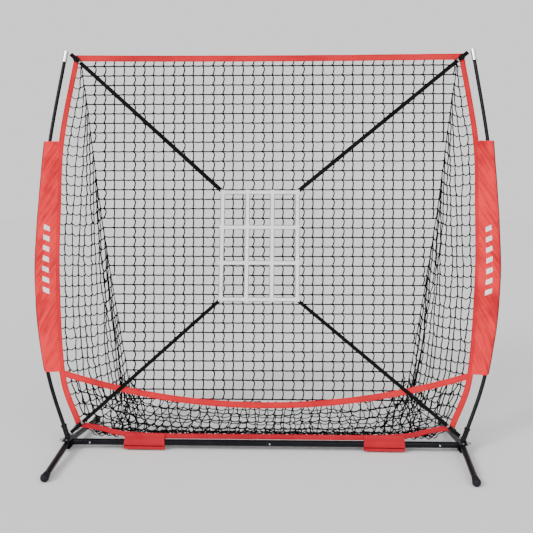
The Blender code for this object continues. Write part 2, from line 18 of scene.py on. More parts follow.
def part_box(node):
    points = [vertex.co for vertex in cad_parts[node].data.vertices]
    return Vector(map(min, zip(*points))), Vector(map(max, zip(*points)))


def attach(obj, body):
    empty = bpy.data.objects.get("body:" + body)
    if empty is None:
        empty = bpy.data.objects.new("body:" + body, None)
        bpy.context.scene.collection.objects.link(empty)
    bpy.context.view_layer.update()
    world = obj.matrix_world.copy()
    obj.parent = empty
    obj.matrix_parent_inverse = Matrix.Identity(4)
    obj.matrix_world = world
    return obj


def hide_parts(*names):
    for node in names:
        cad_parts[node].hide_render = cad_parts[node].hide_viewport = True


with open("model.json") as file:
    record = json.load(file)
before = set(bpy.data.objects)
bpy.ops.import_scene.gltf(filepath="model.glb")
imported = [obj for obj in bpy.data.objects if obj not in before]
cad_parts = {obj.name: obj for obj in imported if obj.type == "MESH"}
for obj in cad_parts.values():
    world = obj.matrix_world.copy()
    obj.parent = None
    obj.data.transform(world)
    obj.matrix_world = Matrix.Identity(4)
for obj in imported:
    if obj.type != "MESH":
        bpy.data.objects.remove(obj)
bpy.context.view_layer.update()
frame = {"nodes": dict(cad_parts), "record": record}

# %% [markdown]
# ## Sizes that the soft pieces share
#
# The poles lean back, so the front of the bag lies in one leaning plane, while the back net hangs straight
# down from the top band. A few driving lines, in metres, place all the cloth. Each is a list of (x, z)
# points from the middle of the net outwards. The boxes of many pieces are read from the frame.

# %% Driving lines and small helpers
LEAN = 0.22                 # metres back for each metre up
BAR_Z = 0.040               # height of the crossbar's middle
SIDES = {"left": -1, "right": 1}
POLE_LINE = ((1.011, 0.040), (1.145, 0.375), (1.225, 0.760), (1.247, 1.150),
             (1.222, 1.626), (1.171, 2.080), (1.164, 2.143))
TRIM_LINE = ((1.100, 2.100), (1.156, 1.626), (1.150, 1.250), (1.130, 0.860), (1.068, 0.375), (0.966, 0.127))
BOTTOM_LINE = ((0.0, 0.070), (0.50, 0.070), (0.73, 0.080), (0.85, 0.106), (0.966, 0.124))
TRIM_W = 0.031
TOP_W = 0.037
BOTTOM_W = 0.025
LIP_MID_Z = 0.224           # the pocket lip is lowest in the middle
LIP_RISE = 0.150
LIP_HALF = 1.056
PLANE_NORMAL = Vector((0, -1, LEAN)).normalized()
PLANE_UP = Vector((0, LEAN, 1)).normalized()


def smooth_line(points, steps):
    """A Catmull-Rom curve through a few points."""
    points = [Vector(p) for p in points]
    padded = [2 * points[0] - points[1], *points, 2 * points[-1] - points[-2]]
    line = []
    for a, b, c, d in zip(padded, padded[1:], padded[2:], padded[3:]):
        for k in range(steps):
            t = k / steps
            line.append(0.5 * (2 * b + (c - a) * t + (2 * a - 5 * b + 4 * c - d) * t * t
                               + (3 * b - a - 3 * c + d) * t ** 3))
    return line + [points[-1]]


def along_line(line, t):
    """The point at a share t of a polyline's length."""
    lengths = np.cumsum([0] + [(b - a).length for a, b in zip(line, line[1:])])
    s = min(max(t, 0), 1) * lengths[-1]
    k = min(int(np.searchsorted(lengths, s, "right")) - 1, len(line) - 2)
    return line[k].lerp(line[k + 1], (s - lengths[k]) / (lengths[k + 1] - lengths[k]))


def at_height(line, z):
    """The x of a line of (x, z) points at a height."""
    ordered = sorted(line, key=lambda p: p[1])
    return float(np.interp(z, [p[1] for p in ordered], [p[0] for p in ordered]))


def leaning(x, z, off=0.0):
    """A point on the leaning front plane, or off metres behind it."""
    return Vector((x, LEAN * (z - BAR_Z) + off, z))


def line_length(points):
    """The length of a line of straight pieces."""
    return sum((b - a).length for a, b in zip(points, points[1:]))


def wobble(x, y, z, scale):
    """Smooth repeatable noise from -1 to 1."""
    return noise.noise(Vector((x, y, z)) * scale)


POLE_CURVE = smooth_line(POLE_LINE, 10)
TRIM_CURVE = smooth_line(TRIM_LINE, 10)
print("side trim", round(line_length(TRIM_CURVE), 3), "m long, pole", round(line_length(POLE_CURVE), 3))

# %% [markdown]
# ## Camera, floor and light
#
# The net is seen from in front, a little right of its middle, from chest height. The lens is shifted down
# rather than tilted, so upright lines stay upright. Two broad suns light it from both front corners, and a
# bright sky keeps the black twine crisp on a pale ground.

# %% Camera, floor and soft light
FOCAL_SHARE = 1.4969        # focal length over image width
CAMERA_AT = (0.2047, -4.1015, 1.3447)
CAMERA_TURN = 0.030
CAMERA_SHIFT = (-0.0249, -0.1442)
SKY_LIGHT = 0.55            # what lights the object
SKY_SEEN = 1.13             # what shows behind it
FLOOR_SIZE = 60             # so wide that its edge is far from the net
FLOOR_GREY = (0.93, 0.93, 0.93, 1)
KEY_SUN = {"strength": 2.7, "spread": 20, "toward": (0.80, 0.95, -0.72)}
FILL_SUN = {"strength": 1.5, "spread": 50, "toward": (-0.50, 1.00, -0.62)}


def make_camera():
    data = bpy.data.cameras.new("camera")
    data.sensor_width = 36.0
    data.lens = FOCAL_SHARE * data.sensor_width
    data.shift_x, data.shift_y = CAMERA_SHIFT
    camera = bpy.data.objects.new("camera", data)
    camera.location = CAMERA_AT
    camera.rotation_euler = (math.pi / 2, 0, CAMERA_TURN)
    bpy.context.scene.collection.objects.link(camera)
    bpy.context.scene.camera = camera


def make_light(name, strength, spread, toward):
    """A sun: its strength, the width of its disc in degrees, and the way it shines."""
    data = bpy.data.lights.new(name, "SUN")
    data.energy = strength
    data.angle = math.radians(spread)
    light = bpy.data.objects.new(name, data)
    light.rotation_euler = Vector(toward).to_track_quat("-Z", "Y").to_euler()
    bpy.context.scene.collection.objects.link(light)


def make_floor():
    bpy.ops.object.select_all(action="DESELECT")
    bpy.ops.mesh.primitive_plane_add(size=FLOOR_SIZE, location=(0, 0, 0))
    floor = bpy.context.active_object
    floor.name = "floor"
    look = bpy.data.materials.new("pale_floor")
    look.use_nodes = True
    shader = look.node_tree.nodes["Principled BSDF"]
    shader.inputs["Base Color"].default_value = FLOOR_GREY
    shader.inputs["Roughness"].default_value = 0.9
    floor.data.materials.append(look)


def make_world():
    world = bpy.data.worlds.new("studio")
    world.use_nodes = True
    tree = world.node_tree
    seen = tree.nodes.new("ShaderNodeLightPath").outputs["Is Camera Ray"]
    strength = tree.nodes.new("ShaderNodeMapRange")
    strength.inputs["To Min"].default_value = SKY_LIGHT
    strength.inputs["To Max"].default_value = SKY_SEEN
    tree.links.new(seen, strength.inputs["Value"])
    tree.nodes["Background"].inputs["Color"].default_value = (1, 1, 1, 1)
    tree.links.new(strength.outputs["Result"], tree.nodes["Background"].inputs["Strength"])
    bpy.context.scene.world = world


make_camera()
make_floor()
make_world()
make_light("key", **KEY_SUN)
make_light("fill", **FILL_SUN)
print("camera at", CAMERA_AT)

# %% [markdown]
# ## Materials
#
# Every finish is built from nodes. A small helper adds a node and sets its sockets, so each recipe reads as
# a list. Cloth patterns follow each piece's own UV map, which holds metres, so the weave keeps its real
# scale.

# %% A helper for node recipes
def start_material(name, sockets):
    """A new material whose shader sockets are set to the given numbers."""
    made = bpy.data.materials.new(name)
    made.use_nodes = True
    shader = made.node_tree.nodes["Principled BSDF"]
    for key, value in sockets.items():
        shader.inputs[key].default_value = value
    return made, made.node_tree, shader


def add_node(tree, kind, sockets=None, **settings):
    made = tree.nodes.new(kind)
    for key, value in settings.items():
        setattr(made, key, value)
    for key, value in (sockets or {}).items():
        if isinstance(value, bpy.types.NodeSocket):
            tree.links.new(value, made.inputs[key])
        else:
            made.inputs[key].default_value = value
    return made


def paint(tree, shader, factor, dark, light):
    """Colours the shader from a dark tone to a light one with a factor socket."""
    mixed = add_node(tree, "ShaderNodeMix", {"Factor": factor}, data_type="RGBA")
    colour_a, colour_b, result = mixed.inputs[6], mixed.inputs[7], mixed.outputs[2]
    colour_a.default_value = (*dark, 1)
    colour_b.default_value = (*light, 1)
    tree.links.new(result, shader.inputs["Base Color"])


def soft_noise(tree, where, scale, detail, **more):
    """The grey value of a noise pattern."""
    sockets = {"Vector": where, "Scale": scale, "Detail": detail, **more}
    return add_node(tree, "ShaderNodeTexNoise", sockets).outputs["Fac"]


def combine(tree, a, b, operation="ADD"):
    """One value from two, by a sum or another operation."""
    return add_node(tree, "ShaderNodeMath", {0: a, 1: b}, operation=operation).outputs[0]


def add_bump(tree, shader, height, strength, distance):
    bump = add_node(tree, "ShaderNodeBump", {"Height": height, "Strength": strength, "Distance": distance})
    tree.links.new(bump.outputs["Normal"], shader.inputs["Normal"])


def stretch(tree, factor, low, high, to_low=0.0, to_high=1.0):
    """Maps a value from one range to another and clips it there."""
    made = add_node(tree, "ShaderNodeMapRange", {"Value": factor, "From Min": low, "From Max": high,
                                                 "To Min": to_low, "To Max": to_high})
    return made.outputs["Result"]


# %% [markdown]
# ### Cloth
#
# Coated polyester is a plain weave: threads over and under at right angles. Two crossed wave textures give
# the threads, and soft noise makes the dye slightly uneven. The sleeves also get slanted streaks of lighter
# and darker red, which follow the UV map: painted light and shade of their creases. Webbing is the same
# weave, only coarser.

# %% Woven cloth recipes
WAVE_PERIOD = 0.314         # metres from band to band of a wave texture at scale 1
PATCH_SCALE = 5.0
# turn and stretch of the painted crease shade on the sleeve cloth
FOLD_SHADE_TURN = 0.40
FOLD_SHADE_STRETCH = (5.0, 75.0, 1.0)
BLACK = (0.001, 0.001, 0.001)


def woven(name, dark, light, pitch, roughness, sheen, painted_fold_shade=0.0):
    """Cloth whose threads lie a pitch apart, read from a UV map in metres."""
    made, tree, shader = start_material(name, {"Roughness": roughness, "Sheen Weight": sheen,
                                               "Sheen Roughness": 0.4, "Specular IOR Level": 0.12})
    where = add_node(tree, "ShaderNodeTexCoord")
    flat = where.outputs["UV"]
    waves = []
    for direction in ("X", "Y"):
        wave = add_node(tree, "ShaderNodeTexWave", {"Vector": flat, "Scale": WAVE_PERIOD / pitch},
                        wave_type="BANDS", bands_direction=direction)
        waves.append(wave.outputs["Fac"])
    weave = combine(tree, waves[0], waves[1], "MAXIMUM")
    patches = soft_noise(tree, where.outputs["Object"], PATCH_SCALE, 5.0, Roughness=0.6)
    tone = stretch(tree, patches, 0.32, 0.68)
    # painted light and shade: slanted streaks stand in for the lit and shaded sides of the sleeve's creases
    if painted_fold_shade:
        turned = add_node(tree, "ShaderNodeMapping", {"Vector": flat, "Rotation": (0.0, 0.0, FOLD_SHADE_TURN)})
        slanted = add_node(tree, "ShaderNodeMapping", {"Vector": turned.outputs[0], "Scale": FOLD_SHADE_STRETCH})
        folds = soft_noise(tree, slanted.outputs[0], 1.0, 3.0, Distortion=0.2)
        folds = stretch(tree, folds, 0.36, 0.64, -painted_fold_shade, painted_fold_shade)
        tone = combine(tree, tone, folds)
    shade = combine(tree, weave, 0.25, "MULTIPLY")
    paint(tree, shader, combine(tree, tone, shade), dark, light)
    add_bump(tree, shader, weave, 0.5, pitch * 0.3)
    return made


# the sleeve cloth carries the painted crease shade
red_cloth = woven("red_cloth", (0.47, 0.009, 0.017), (0.84, 0.026, 0.036), 0.0011, 0.62, 0.02, painted_fold_shade=0.42)
red_band = woven("red_band", (0.44, 0.008, 0.015), (0.66, 0.017, 0.027), 0.0013, 0.62, 0.02)
red_tab = woven("red_tab", (0.32, 0.006, 0.014), (0.46, 0.012, 0.024), 0.0013, 0.66, 0.02)
white_web = woven("white_web", (0.74, 0.74, 0.73), (0.90, 0.90, 0.90), 0.0016, 0.7, 0.2)
black_web = woven("black_web", BLACK, (0.004, 0.004, 0.004), 0.0014, 0.85, 0.0)
red_thread = woven("red_thread", (0.22, 0.005, 0.009), (0.32, 0.008, 0.014), 0.0006, 0.6, 0.1)
# grey for the zone's edge lines, partly seam and partly painted shade
grey_seam_and_shade = woven("grey_seam_and_shade", (0.17, 0.17, 0.18), (0.26, 0.26, 0.27), 0.0006, 0.7, 0.0)
white_ink = woven("white_ink", (0.78, 0.77, 0.77), (0.88, 0.88, 0.88), 0.0011, 0.55, 0.0)
# dark red for lines of painted shade: the sleeve's outer edge and the tab's shadow line
painted_shade_line = woven("painted_shade_line", (0.022, 0.001, 0.002), (0.040, 0.002, 0.003), 0.0006, 0.7, 0.0)
print("cloth:", [m.name for m in (red_cloth, red_band, red_tab, white_web, black_web)])

# %% [markdown]
# ### Twine, coated steel, poles, rubber, nickel and plastic
#
# Twine is matt black with a twist. Powder coat is glossy with a faint orange-peel. The poles are wrapped
# fibreglass, so a diagonal band runs round them. Rubber is rough, the nickel tips are brushed, and the
# plastic of the sliders has a fine grain. The two strap hooks are blackened, so they take the steel's
# powder coat.

# %% Hard and stringy recipes
def start_hard(name, roughness, specular):
    """A material that reads Object coordinates, with its roughness and specular level."""
    made, tree, shader = start_material(name, {"Roughness": roughness, "Specular IOR Level": specular})
    return made, tree, shader, add_node(tree, "ShaderNodeTexCoord").outputs["Object"]


def twine_look():
    made, tree, shader, where = start_hard("black_twine", 0.9, 0.08)
    fuzz = soft_noise(tree, where, 60.0, 3.0)
    paint(tree, shader, fuzz, BLACK, (0.005, 0.005, 0.005))
    strands = add_node(tree, "ShaderNodeTexWave", {"Vector": where, "Scale": 110.0, "Distortion": 2.0},
                       bands_direction="DIAGONAL")
    add_bump(tree, shader, strands.outputs["Fac"], 0.6, 0.0008)
    return made


def powder_coat():
    made, tree, shader, where = start_hard("black_powder_coat", 0.5, 0.16)
    peel = soft_noise(tree, where, 420.0, 2.0)
    dust = soft_noise(tree, where, 9.0, 6.0)
    paint(tree, shader, dust, (0.0015, 0.0017, 0.003), (0.005, 0.0055, 0.009))
    tree.links.new(stretch(tree, dust, 0.3, 0.7, 0.22, 0.34), shader.inputs["Roughness"])
    add_bump(tree, shader, peel, 0.12, 0.0004)
    return made


def wrapped_pole():
    made, tree, shader, where = start_hard("wrapped_pole", 0.5, 0.14)
    turned = add_node(tree, "ShaderNodeMapping", {"Vector": where, "Rotation": (0.0, 0.9, 0.5)}).outputs[0]
    wrap = add_node(tree, "ShaderNodeTexWave", {"Vector": turned, "Scale": 14.0, "Distortion": 0.6,
                                                "Detail": 1.0}, bands_direction="X").outputs["Fac"]
    paint(tree, shader, wrap, (0.001, 0.001, 0.0015), (0.006, 0.006, 0.009))
    tree.links.new(stretch(tree, wrap, 0.0, 1.0, 0.26, 0.42), shader.inputs["Roughness"])
    add_bump(tree, shader, wrap, 0.25, 0.0006)
    return made


def moulded_rubber():
    made, tree, shader, where = start_hard("moulded_rubber", 0.62, 0.25)
    grain = soft_noise(tree, where, 260.0, 3.0)
    scuff = soft_noise(tree, where, 40.0, 5.0)
    paint(tree, shader, scuff, (0.002, 0.0024, 0.004), (0.009, 0.010, 0.016))
    add_bump(tree, shader, grain, 0.3, 0.0005)
    return made


def bright_nickel():
    made, tree, shader, where = start_hard("bright_nickel", 0.5, 0.5)
    shader.inputs["Metallic"].default_value = 1.0
    brushed = add_node(tree, "ShaderNodeMapping", {"Vector": where, "Scale": (900.0, 900.0, 30.0)})
    lines = soft_noise(tree, brushed.outputs[0], 1.0, 2.0)
    paint(tree, shader, lines, (0.66, 0.67, 0.68), (0.92, 0.92, 0.92))
    tree.links.new(stretch(tree, lines, 0.2, 0.8, 0.18, 0.38), shader.inputs["Roughness"])
    add_bump(tree, shader, lines, 0.1, 0.0002)
    return made


def moulded_plastic():
    made, tree, shader, where = start_hard("black_plastic_grain", 0.42, 0.20)
    grain = add_node(tree, "ShaderNodeTexVoronoi", {"Vector": where, "Scale": 900.0}).outputs["Distance"]
    paint(tree, shader, grain, (0.002, 0.002, 0.0025), (0.007, 0.007, 0.008))
    add_bump(tree, shader, grain, 0.2, 0.0002)
    return made


twine = twine_look()
coated_steel = powder_coat()
fibreglass = wrapped_pole()
rubber = moulded_rubber()
nickel = bright_nickel()
plastic = moulded_plastic()
SLOTS = {"black_steel": coated_steel, "black_pole": fibreglass, "bright_steel": nickel, "rubber": rubber,
         "red_fabric": red_cloth, "netting": twine, "white_webbing": white_web, "black_webbing": black_web,
         "black_plastic": plastic}
for part in frame["record"]["subparts"]:
    solid = frame["nodes"][part["node"]].data
    solid.materials.clear()
    blackened = part["node"].endswith("_strap_hook")
    solid.materials.append(coated_steel if blackened else SLOTS[part["material_slot"]])
print(len(SLOTS), "finishes on", len(frame["nodes"]), "CAD nodes")

# %% [markdown]
# ## Cloth made from a grid
#
# A trim, a sleeve or a strap is a flat strip of cloth, so each starts as Blender's grid primitive. The grid
# brings a UV map with it, and every point is then moved to its place by a rule that takes the share along
# and across. Solidify gives the cloth its thickness, and the UV map is scaled to metres for the weave.

# %% Helpers that place and finish a strip of cloth
SHARP_ANGLE = math.radians(50)


def select_only(piece):
    bpy.ops.object.select_all(action="DESELECT")
    piece.select_set(True)
    bpy.context.view_layer.objects.active = piece


def cloth_strip(name, columns, rows, place, size, look):
    """A grid whose point at shares (u, v) is moved to place(u, v). Size is its length and width."""
    bpy.ops.object.select_all(action="DESELECT")
    bpy.ops.mesh.primitive_grid_add(x_subdivisions=columns, y_subdivisions=rows, size=1)
    strip = bpy.context.active_object
    strip.name = name
    strip.data.name = name
    for point in strip.data.vertices:
        point.co = place(point.co.x + 0.5, point.co.y + 0.5)
    layer = strip.data.uv_layers.active.data
    for corner in layer:
        corner.uv = (corner.uv[0] * size[0], corner.uv[1] * size[1])
    strip.data.materials.append(look)
    return strip


def thicken(piece, thickness):
    """Gives cloth its thickness, half on each side of the strip."""
    select_only(piece)
    wall = piece.modifiers.new("thickness", "SOLIDIFY")
    wall.thickness = thickness
    wall.offset = 0.0
    bpy.ops.object.modifier_apply(modifier=wall.name)
    bpy.ops.object.shade_smooth_by_angle(angle=SHARP_ANGLE)


def on_frame(piece, slot, *nodes):
    """Rides on the fixed frame and stands for CAD nodes, which it hides. The slot is not used."""
    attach(piece, "frame")
    if nodes:
        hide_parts(*nodes)


# %% [markdown]
# ## The red trims
#
# The bag's mouth is edged with a narrow band of folded cloth, sewn flat. It ripples a little between the
# knots of the net, so the rule that places it adds small waves. Another helper sews each band with two
# lines of stitches, which are short dashes of thread along both edges.

# %% A band with hemmed edges and stitches
BAND_THICK = 0.0022
BAND_CELL = 0.012           # length of one cell of the band's grid
BAND_WAVES = 0.0012
BAND_CROWN = 0.0007
STITCH = 0.0055
STITCH_GAP = 0.0035
STITCH_ROWS = (0.14, 0.86)
THREAD_HALF_W = 0.0005
THREAD_HALF_H = 0.00055


def band_rule(line, width):
    """Places a strip along a line in the leaning plane, with small ripples in depth and width."""
    def place(u, v):
        here = along_line(line, u)
        ahead = along_line(line, min(u + 0.004, 1)) - along_line(line, max(u - 0.004, 0))
        side = PLANE_NORMAL.cross(ahead).normalized()
        across = (v - 0.5) * width
        ripple = BAND_WAVES * (wobble(here.x, here.z, 0.3, 9.0) + 0.6 * wobble(here.x, here.z, 4.7, 23.0))
        tuck = 0.35 * ripple * side
        crown = BAND_CROWN * (1 - (2 * v - 1) ** 2)
        return here + across * side + tuck + PLANE_NORMAL * crown + ripple * 0.8 * PLANE_NORMAL
    return place


def sew(name, place, length, rows_at, lift=0.0016):
    """Short thread dashes along a strip: an eight-point bar for every stitch of each row."""
    count = int(length / (STITCH + STITCH_GAP))
    points = []
    faces = []
    for v in rows_at:
        for k in range(count):
            u = (k + 0.5) / count
            a = place(u - STITCH / 2 / length, v)
            b = place(u + STITCH / 2 / length, v)
            along = (b - a).normalized()
            side = PLANE_NORMAL.cross(along).normalized() * THREAD_HALF_W
            up = PLANE_NORMAL * THREAD_HALF_H
            base = PLANE_NORMAL * lift
            sunk = PLANE_NORMAL * -0.0004
            start = len(points)
            for end in (a, b):
                root = end + base + sunk
                points += [root - side - up, root + side - up, root + side + up, root - side + up]
            faces += [(start, start + 1, start + 2, start + 3), (start + 7, start + 6, start + 5, start + 4)]
            faces += [(start + i, start + 4 + i, start + 4 + (i + 1) % 4, start + (i + 1) % 4)
                      for i in range(4)]
    mesh = bpy.data.meshes.new(name)
    mesh.from_pydata([tuple(p) for p in points], [], faces)
    mesh.materials.append(red_thread)
    stitches = bpy.data.objects.new(name, mesh)
    bpy.context.scene.collection.objects.link(stitches)
    select_only(stitches)
    bpy.ops.object.mode_set(mode="EDIT")
    bpy.ops.mesh.select_all(action="SELECT")
    bpy.ops.mesh.normals_make_consistent(inside=False)
    bpy.ops.object.mode_set(mode="OBJECT")
    return stitches


def red_trim(node, line, width, look=red_band):
    """One trim band with its two rows of stitches."""
    name = node + "_cloth"
    length = line_length(line)
    place = band_rule(line, width)
    band = cloth_strip(name, int(length / BAND_CELL), 6, place, (length, width), look)
    thicken(band, BAND_THICK)
    on_frame(band, "red_fabric", node)
    threads = sew(name + "_stitches", place, length, STITCH_ROWS)
    on_frame(threads, "red_fabric")
    print(name, round(length, 3), "m by", width)


def lip_height(x):
    """The pocket lip sags in a shallow curve between the two side trims."""
    return LIP_MID_Z + LIP_RISE * (x / LIP_HALF) ** 2


def trim_lines():
    """The middle lines of the top band, the pocket lip and the bottom trim."""
    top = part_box("top_trim")
    reach = top[1].x
    high = top[1].z - TOP_W / 2 + 0.0008
    band = [leaning(x, high - 0.006 * (1 - (x / reach) ** 2)) for x in np.linspace(-reach, reach, 41)]
    lip = [leaning(x, lip_height(x)) for x in np.linspace(-LIP_HALF, LIP_HALF, 41)]
    half = smooth_line(BOTTOM_LINE, 8)
    bottom = [Vector((p.x, 0.006 + 0.14 * (p.y - BAR_Z), p.y)) for p in half]
    bottom = [Vector((-p.x, p.y, p.z)) for p in bottom[:0:-1]] + bottom
    return band, lip, bottom


top_line, lip_line, bottom_line = trim_lines()
red_trim("top_trim", top_line, TOP_W)
red_trim("pocket_lip_trim", lip_line, TRIM_W)
red_trim("bottom_trim", bottom_line, BOTTOM_W, red_tab)
for side_name, side in SIDES.items():
    red_trim(side_name + "_side_trim", [leaning(side * p.x, p.y) for p in TRIM_CURVE], TRIM_W)

# %% [markdown]
# ## Knotted netting
#
# A net is two families of twine that are knotted where they cross. Every line of twine is a curve with a
# round bevel, turned into a mesh, and every crossing gets a small lumpy knot. One helper takes all the
# lines and knots of a panel and joins them into one piece, so a whole wall of netting stays a single light
# mesh. The same helper later draws threads, poles and slider frames, which are bevelled curves too.

# %% Turn lines of twine and knots into one mesh
KNOT_SHARE = 1.6            # radius of a knot over that of its twine
KNOT_SHAPE = (1.0, 0.75, 1.15)
FULL_CELL = 0.045           # shorter cells sag less
BOW_SKEW = 0.62             # below 1, a column bows most near the top of its cell


def twine_piece(name, lines, radius, knots, look, sides_step=1):
    """Round lines of one radius, with a knot at each given place, as one mesh."""
    data = bpy.data.curves.new(name, "CURVE")
    data.dimensions = "3D"
    data.bevel_depth = radius
    data.bevel_resolution = sides_step
    data.use_fill_caps = True
    for line in lines:
        spline = data.splines.new("POLY")
        spline.points.add(len(line) - 1)
        spline.points.foreach_set("co", [c for p in line for c in (p[0], p[1], p[2], 1.0)])
    piece = bpy.data.objects.new(name, data)
    bpy.context.scene.collection.objects.link(piece)
    select_only(piece)
    bpy.ops.object.convert(target="MESH")
    piece = bpy.context.active_object
    piece.name = name
    piece.data.name = name
    piece.data.materials.clear()
    piece.data.materials.append(look)
    if len(knots):
        add_knots(piece, knots, radius * KNOT_SHARE, look)
    piece.data.shade_smooth()
    return piece


def add_knots(piece, places, size, look):
    """Copies one twenty-face lump to every crossing and joins the lumps to the piece."""
    lump = bmesh.new()
    bmesh.ops.create_icosphere(lump, subdivisions=1, radius=size)
    shape = np.array([v.co for v in lump.verts]) * KNOT_SHAPE
    faces = np.array([[v.index for v in f.verts] for f in lump.faces])
    lump.free()
    places = np.array([tuple(p) for p in places])
    points = (places[:, None, :] + shape[None]).reshape(-1, 3)
    all_faces = (faces[None] + len(shape) * np.arange(len(places))[:, None, None]).reshape(-1, 3)
    mesh = bpy.data.meshes.new(piece.name + "_knots")
    mesh.from_pydata(points.tolist(), [], all_faces.tolist())
    mesh.materials.append(look)
    knots = bpy.data.objects.new(piece.name + "_knots", mesh)
    bpy.context.scene.collection.objects.link(knots)
    bpy.ops.object.select_all(action="DESELECT")
    knots.select_set(True)
    piece.select_set(True)
    bpy.context.view_layer.objects.active = piece
    bpy.ops.object.join()


def limp_lines(grid, sag, bow, across=(1, 0, 0), steps=4):
    """Lines through a grid of knots, rows first. Rows sag between knots and columns bow sideways."""
    grid = np.array(grid, dtype=float)
    rows, columns = grid.shape[:2]
    across = np.array(across, dtype=float)
    lines = []
    for r in range(rows):
        line = []
        for c in range(columns - 1):
            a, b = grid[r, c], grid[r, c + 1]
            for k in range(steps - 1):
                t = k / (steps - 1)
                p = a + (b - a) * t
                slack = sag * min(1.0, float(np.linalg.norm(b - a)) / FULL_CELL)
                p[2] -= slack * math.sin(math.pi * t) * (1 + 0.5 * wobble(*a, 31.0))
                line.append(p)
        line.append(grid[r, -1])
        lines.append(line)
    for c in range(columns):
        line = []
        reach = bow * (1.0 if c % 4 < 2 else -0.45)
        for r in range(rows - 1):
            a, b = grid[r, c], grid[r + 1, c]
            for k in range(steps):
                t = k / steps
                p = a + (b - a) * t
                p = p + across * reach * math.sin(math.pi * t ** BOW_SKEW) * (1 + 0.5 * wobble(*a, 17.0))
                line.append(p)
        line.append(grid[-1, c])
        lines.append(line)
    return lines


# %% [markdown]
# ## Pole sleeves
#
# Each pole slides into a cloth sleeve that is sewn to the side trim. The sleeve is one strip folded round
# the pole: the rule takes v from one seam edge, round the pole, to the other. The cloth is wider than the
# pole, and the net pulls it, so slanted creases run from the seam to the pole. A dark cord down the outer
# edge is painted shade where the cloth curves round, and seven slanted white bars are printed on the front
# as a plain decoration.

# %% Fold a strip round each pole
SLEEVE_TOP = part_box("right_pole_sleeve")[1].z
SLEEVE_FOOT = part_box("right_pole_sleeve")[0].z
SLEEVE_HIGH = SLEEVE_TOP - SLEEVE_FOOT
SLEEVE_R = 0.0132
SLEEVE_GIRTH = 0.205        # scales the weave only
SLEEVE_END = 0.004          # kept free at both ends
SLEEVE_SLACK = 0.018        # how far the top of the sleeve stands outside the pole
SLACK_FROM = 1.15
POLE_SHARE = 0.36           # share of the cloth that wraps the pole
SEAM_HALF = 0.0022
PUFF = 0.0120
DEEPEST_DENT = -0.12
# thickness of the dark cord that paints shade along the sleeve's outer edge
EDGE_SHADE_R = 0.0044
HEM_LENGTH = 0.075
HEM_ROWS = (0.008, 0.016, 0.984, 0.992)
PRINT_BARS = 7
PRINT_FROM = 0.34           # share of the sleeve's height
PRINT_TO = 0.61
PRINT_HIGH = 0.021
PRINT_MIDDLE = 0.17         # share of the way round
PRINT_WIDE = 0.105
PRINT_SLANT = 0.55
PRINT_ROWS = 6
PRINT_COLUMNS = 8


def sleeve_rule(side):
    """Places a share u up the sleeve and v round it. The outer edge is where v is a half."""
    def place(u, v):
        z = SLEEVE_FOOT + SLEEVE_END + (SLEEVE_TOP - SLEEVE_FOOT - 2 * SLEEVE_END) * u
        pole = at_height(POLE_CURVE, z)
        seam = at_height(TRIM_CURVE, z) + 0.004
        slack = SLEEVE_SLACK * max(0.0, (z - SLACK_FROM) / (SLEEVE_TOP - SLACK_FROM)) ** 1.5
        share = 2 * v - 1
        edge = abs(share)
        if edge < POLE_SHARE:
            turn = share / POLE_SHARE * math.pi / 2
            x = pole + slack + SLEEVE_R * math.cos(turn)
            off = SLEEVE_R * math.sin(turn)
        else:
            part = (edge - POLE_SHARE) / (1 - POLE_SHARE)
            x = pole + slack + (seam - pole - slack) * part
            off = math.copysign(SLEEVE_R * (1 - part) ** 0.8 + SEAM_HALF, share)
        pull = math.sin(math.pi * min(1.0, edge * 1.02)) ** 0.7
        slant = z * 0.93 - x * 0.4
        run = z * 0.40 + x
        crease = wobble(run * 34.0, slant * 4.0, side * 3.1, 1.0)
        crease += 0.5 * wobble(run * 75.0, slant * 9.0, side * 7.7, 1.0)
        crease += 0.8 * wobble(run * 16.0, slant * 12.0, side * 1.3, 1.0)
        puff = PUFF * pull * max(crease, DEEPEST_DENT)
        sway = 0.0022 * wobble(z, side * 5.0, 1.0, 7.0) * (1 - edge)
        return leaning(side * (x + sway), z, off + math.copysign(1.0, share or 1.0) * puff)
    return place


def make_sleeve(name, side):
    place = sleeve_rule(side)
    sleeve = cloth_strip(name + "_sleeve_cloth", 240, 34, place, (SLEEVE_HIGH, SLEEVE_GIRTH), red_cloth)
    if side < 0:
        select_only(sleeve)
        bpy.ops.object.mode_set(mode="EDIT")
        bpy.ops.mesh.select_all(action="SELECT")
        bpy.ops.mesh.flip_normals()
        bpy.ops.object.mode_set(mode="OBJECT")
    thicken(sleeve, 0.0010)
    on_frame(sleeve, "red_fabric", name + "_pole_sleeve")
    hem = sew(name + "_sleeve_stitches", lambda u, v: place(v, u), HEM_LENGTH, HEM_ROWS, lift=0.0009)
    on_frame(hem, "red_fabric")
    marks = sleeve_print(name, place)
    # a dark cord down the outer edge: painted shade where the cloth turns round it
    spine = [place(u, 0.5) for u in np.linspace(0.002, 0.998, 120)]
    edge_shade = twine_piece(name + "_sleeve_edge_shade", [spine], EDGE_SHADE_R, [], painted_shade_line)
    on_frame(edge_shade, "red_fabric")


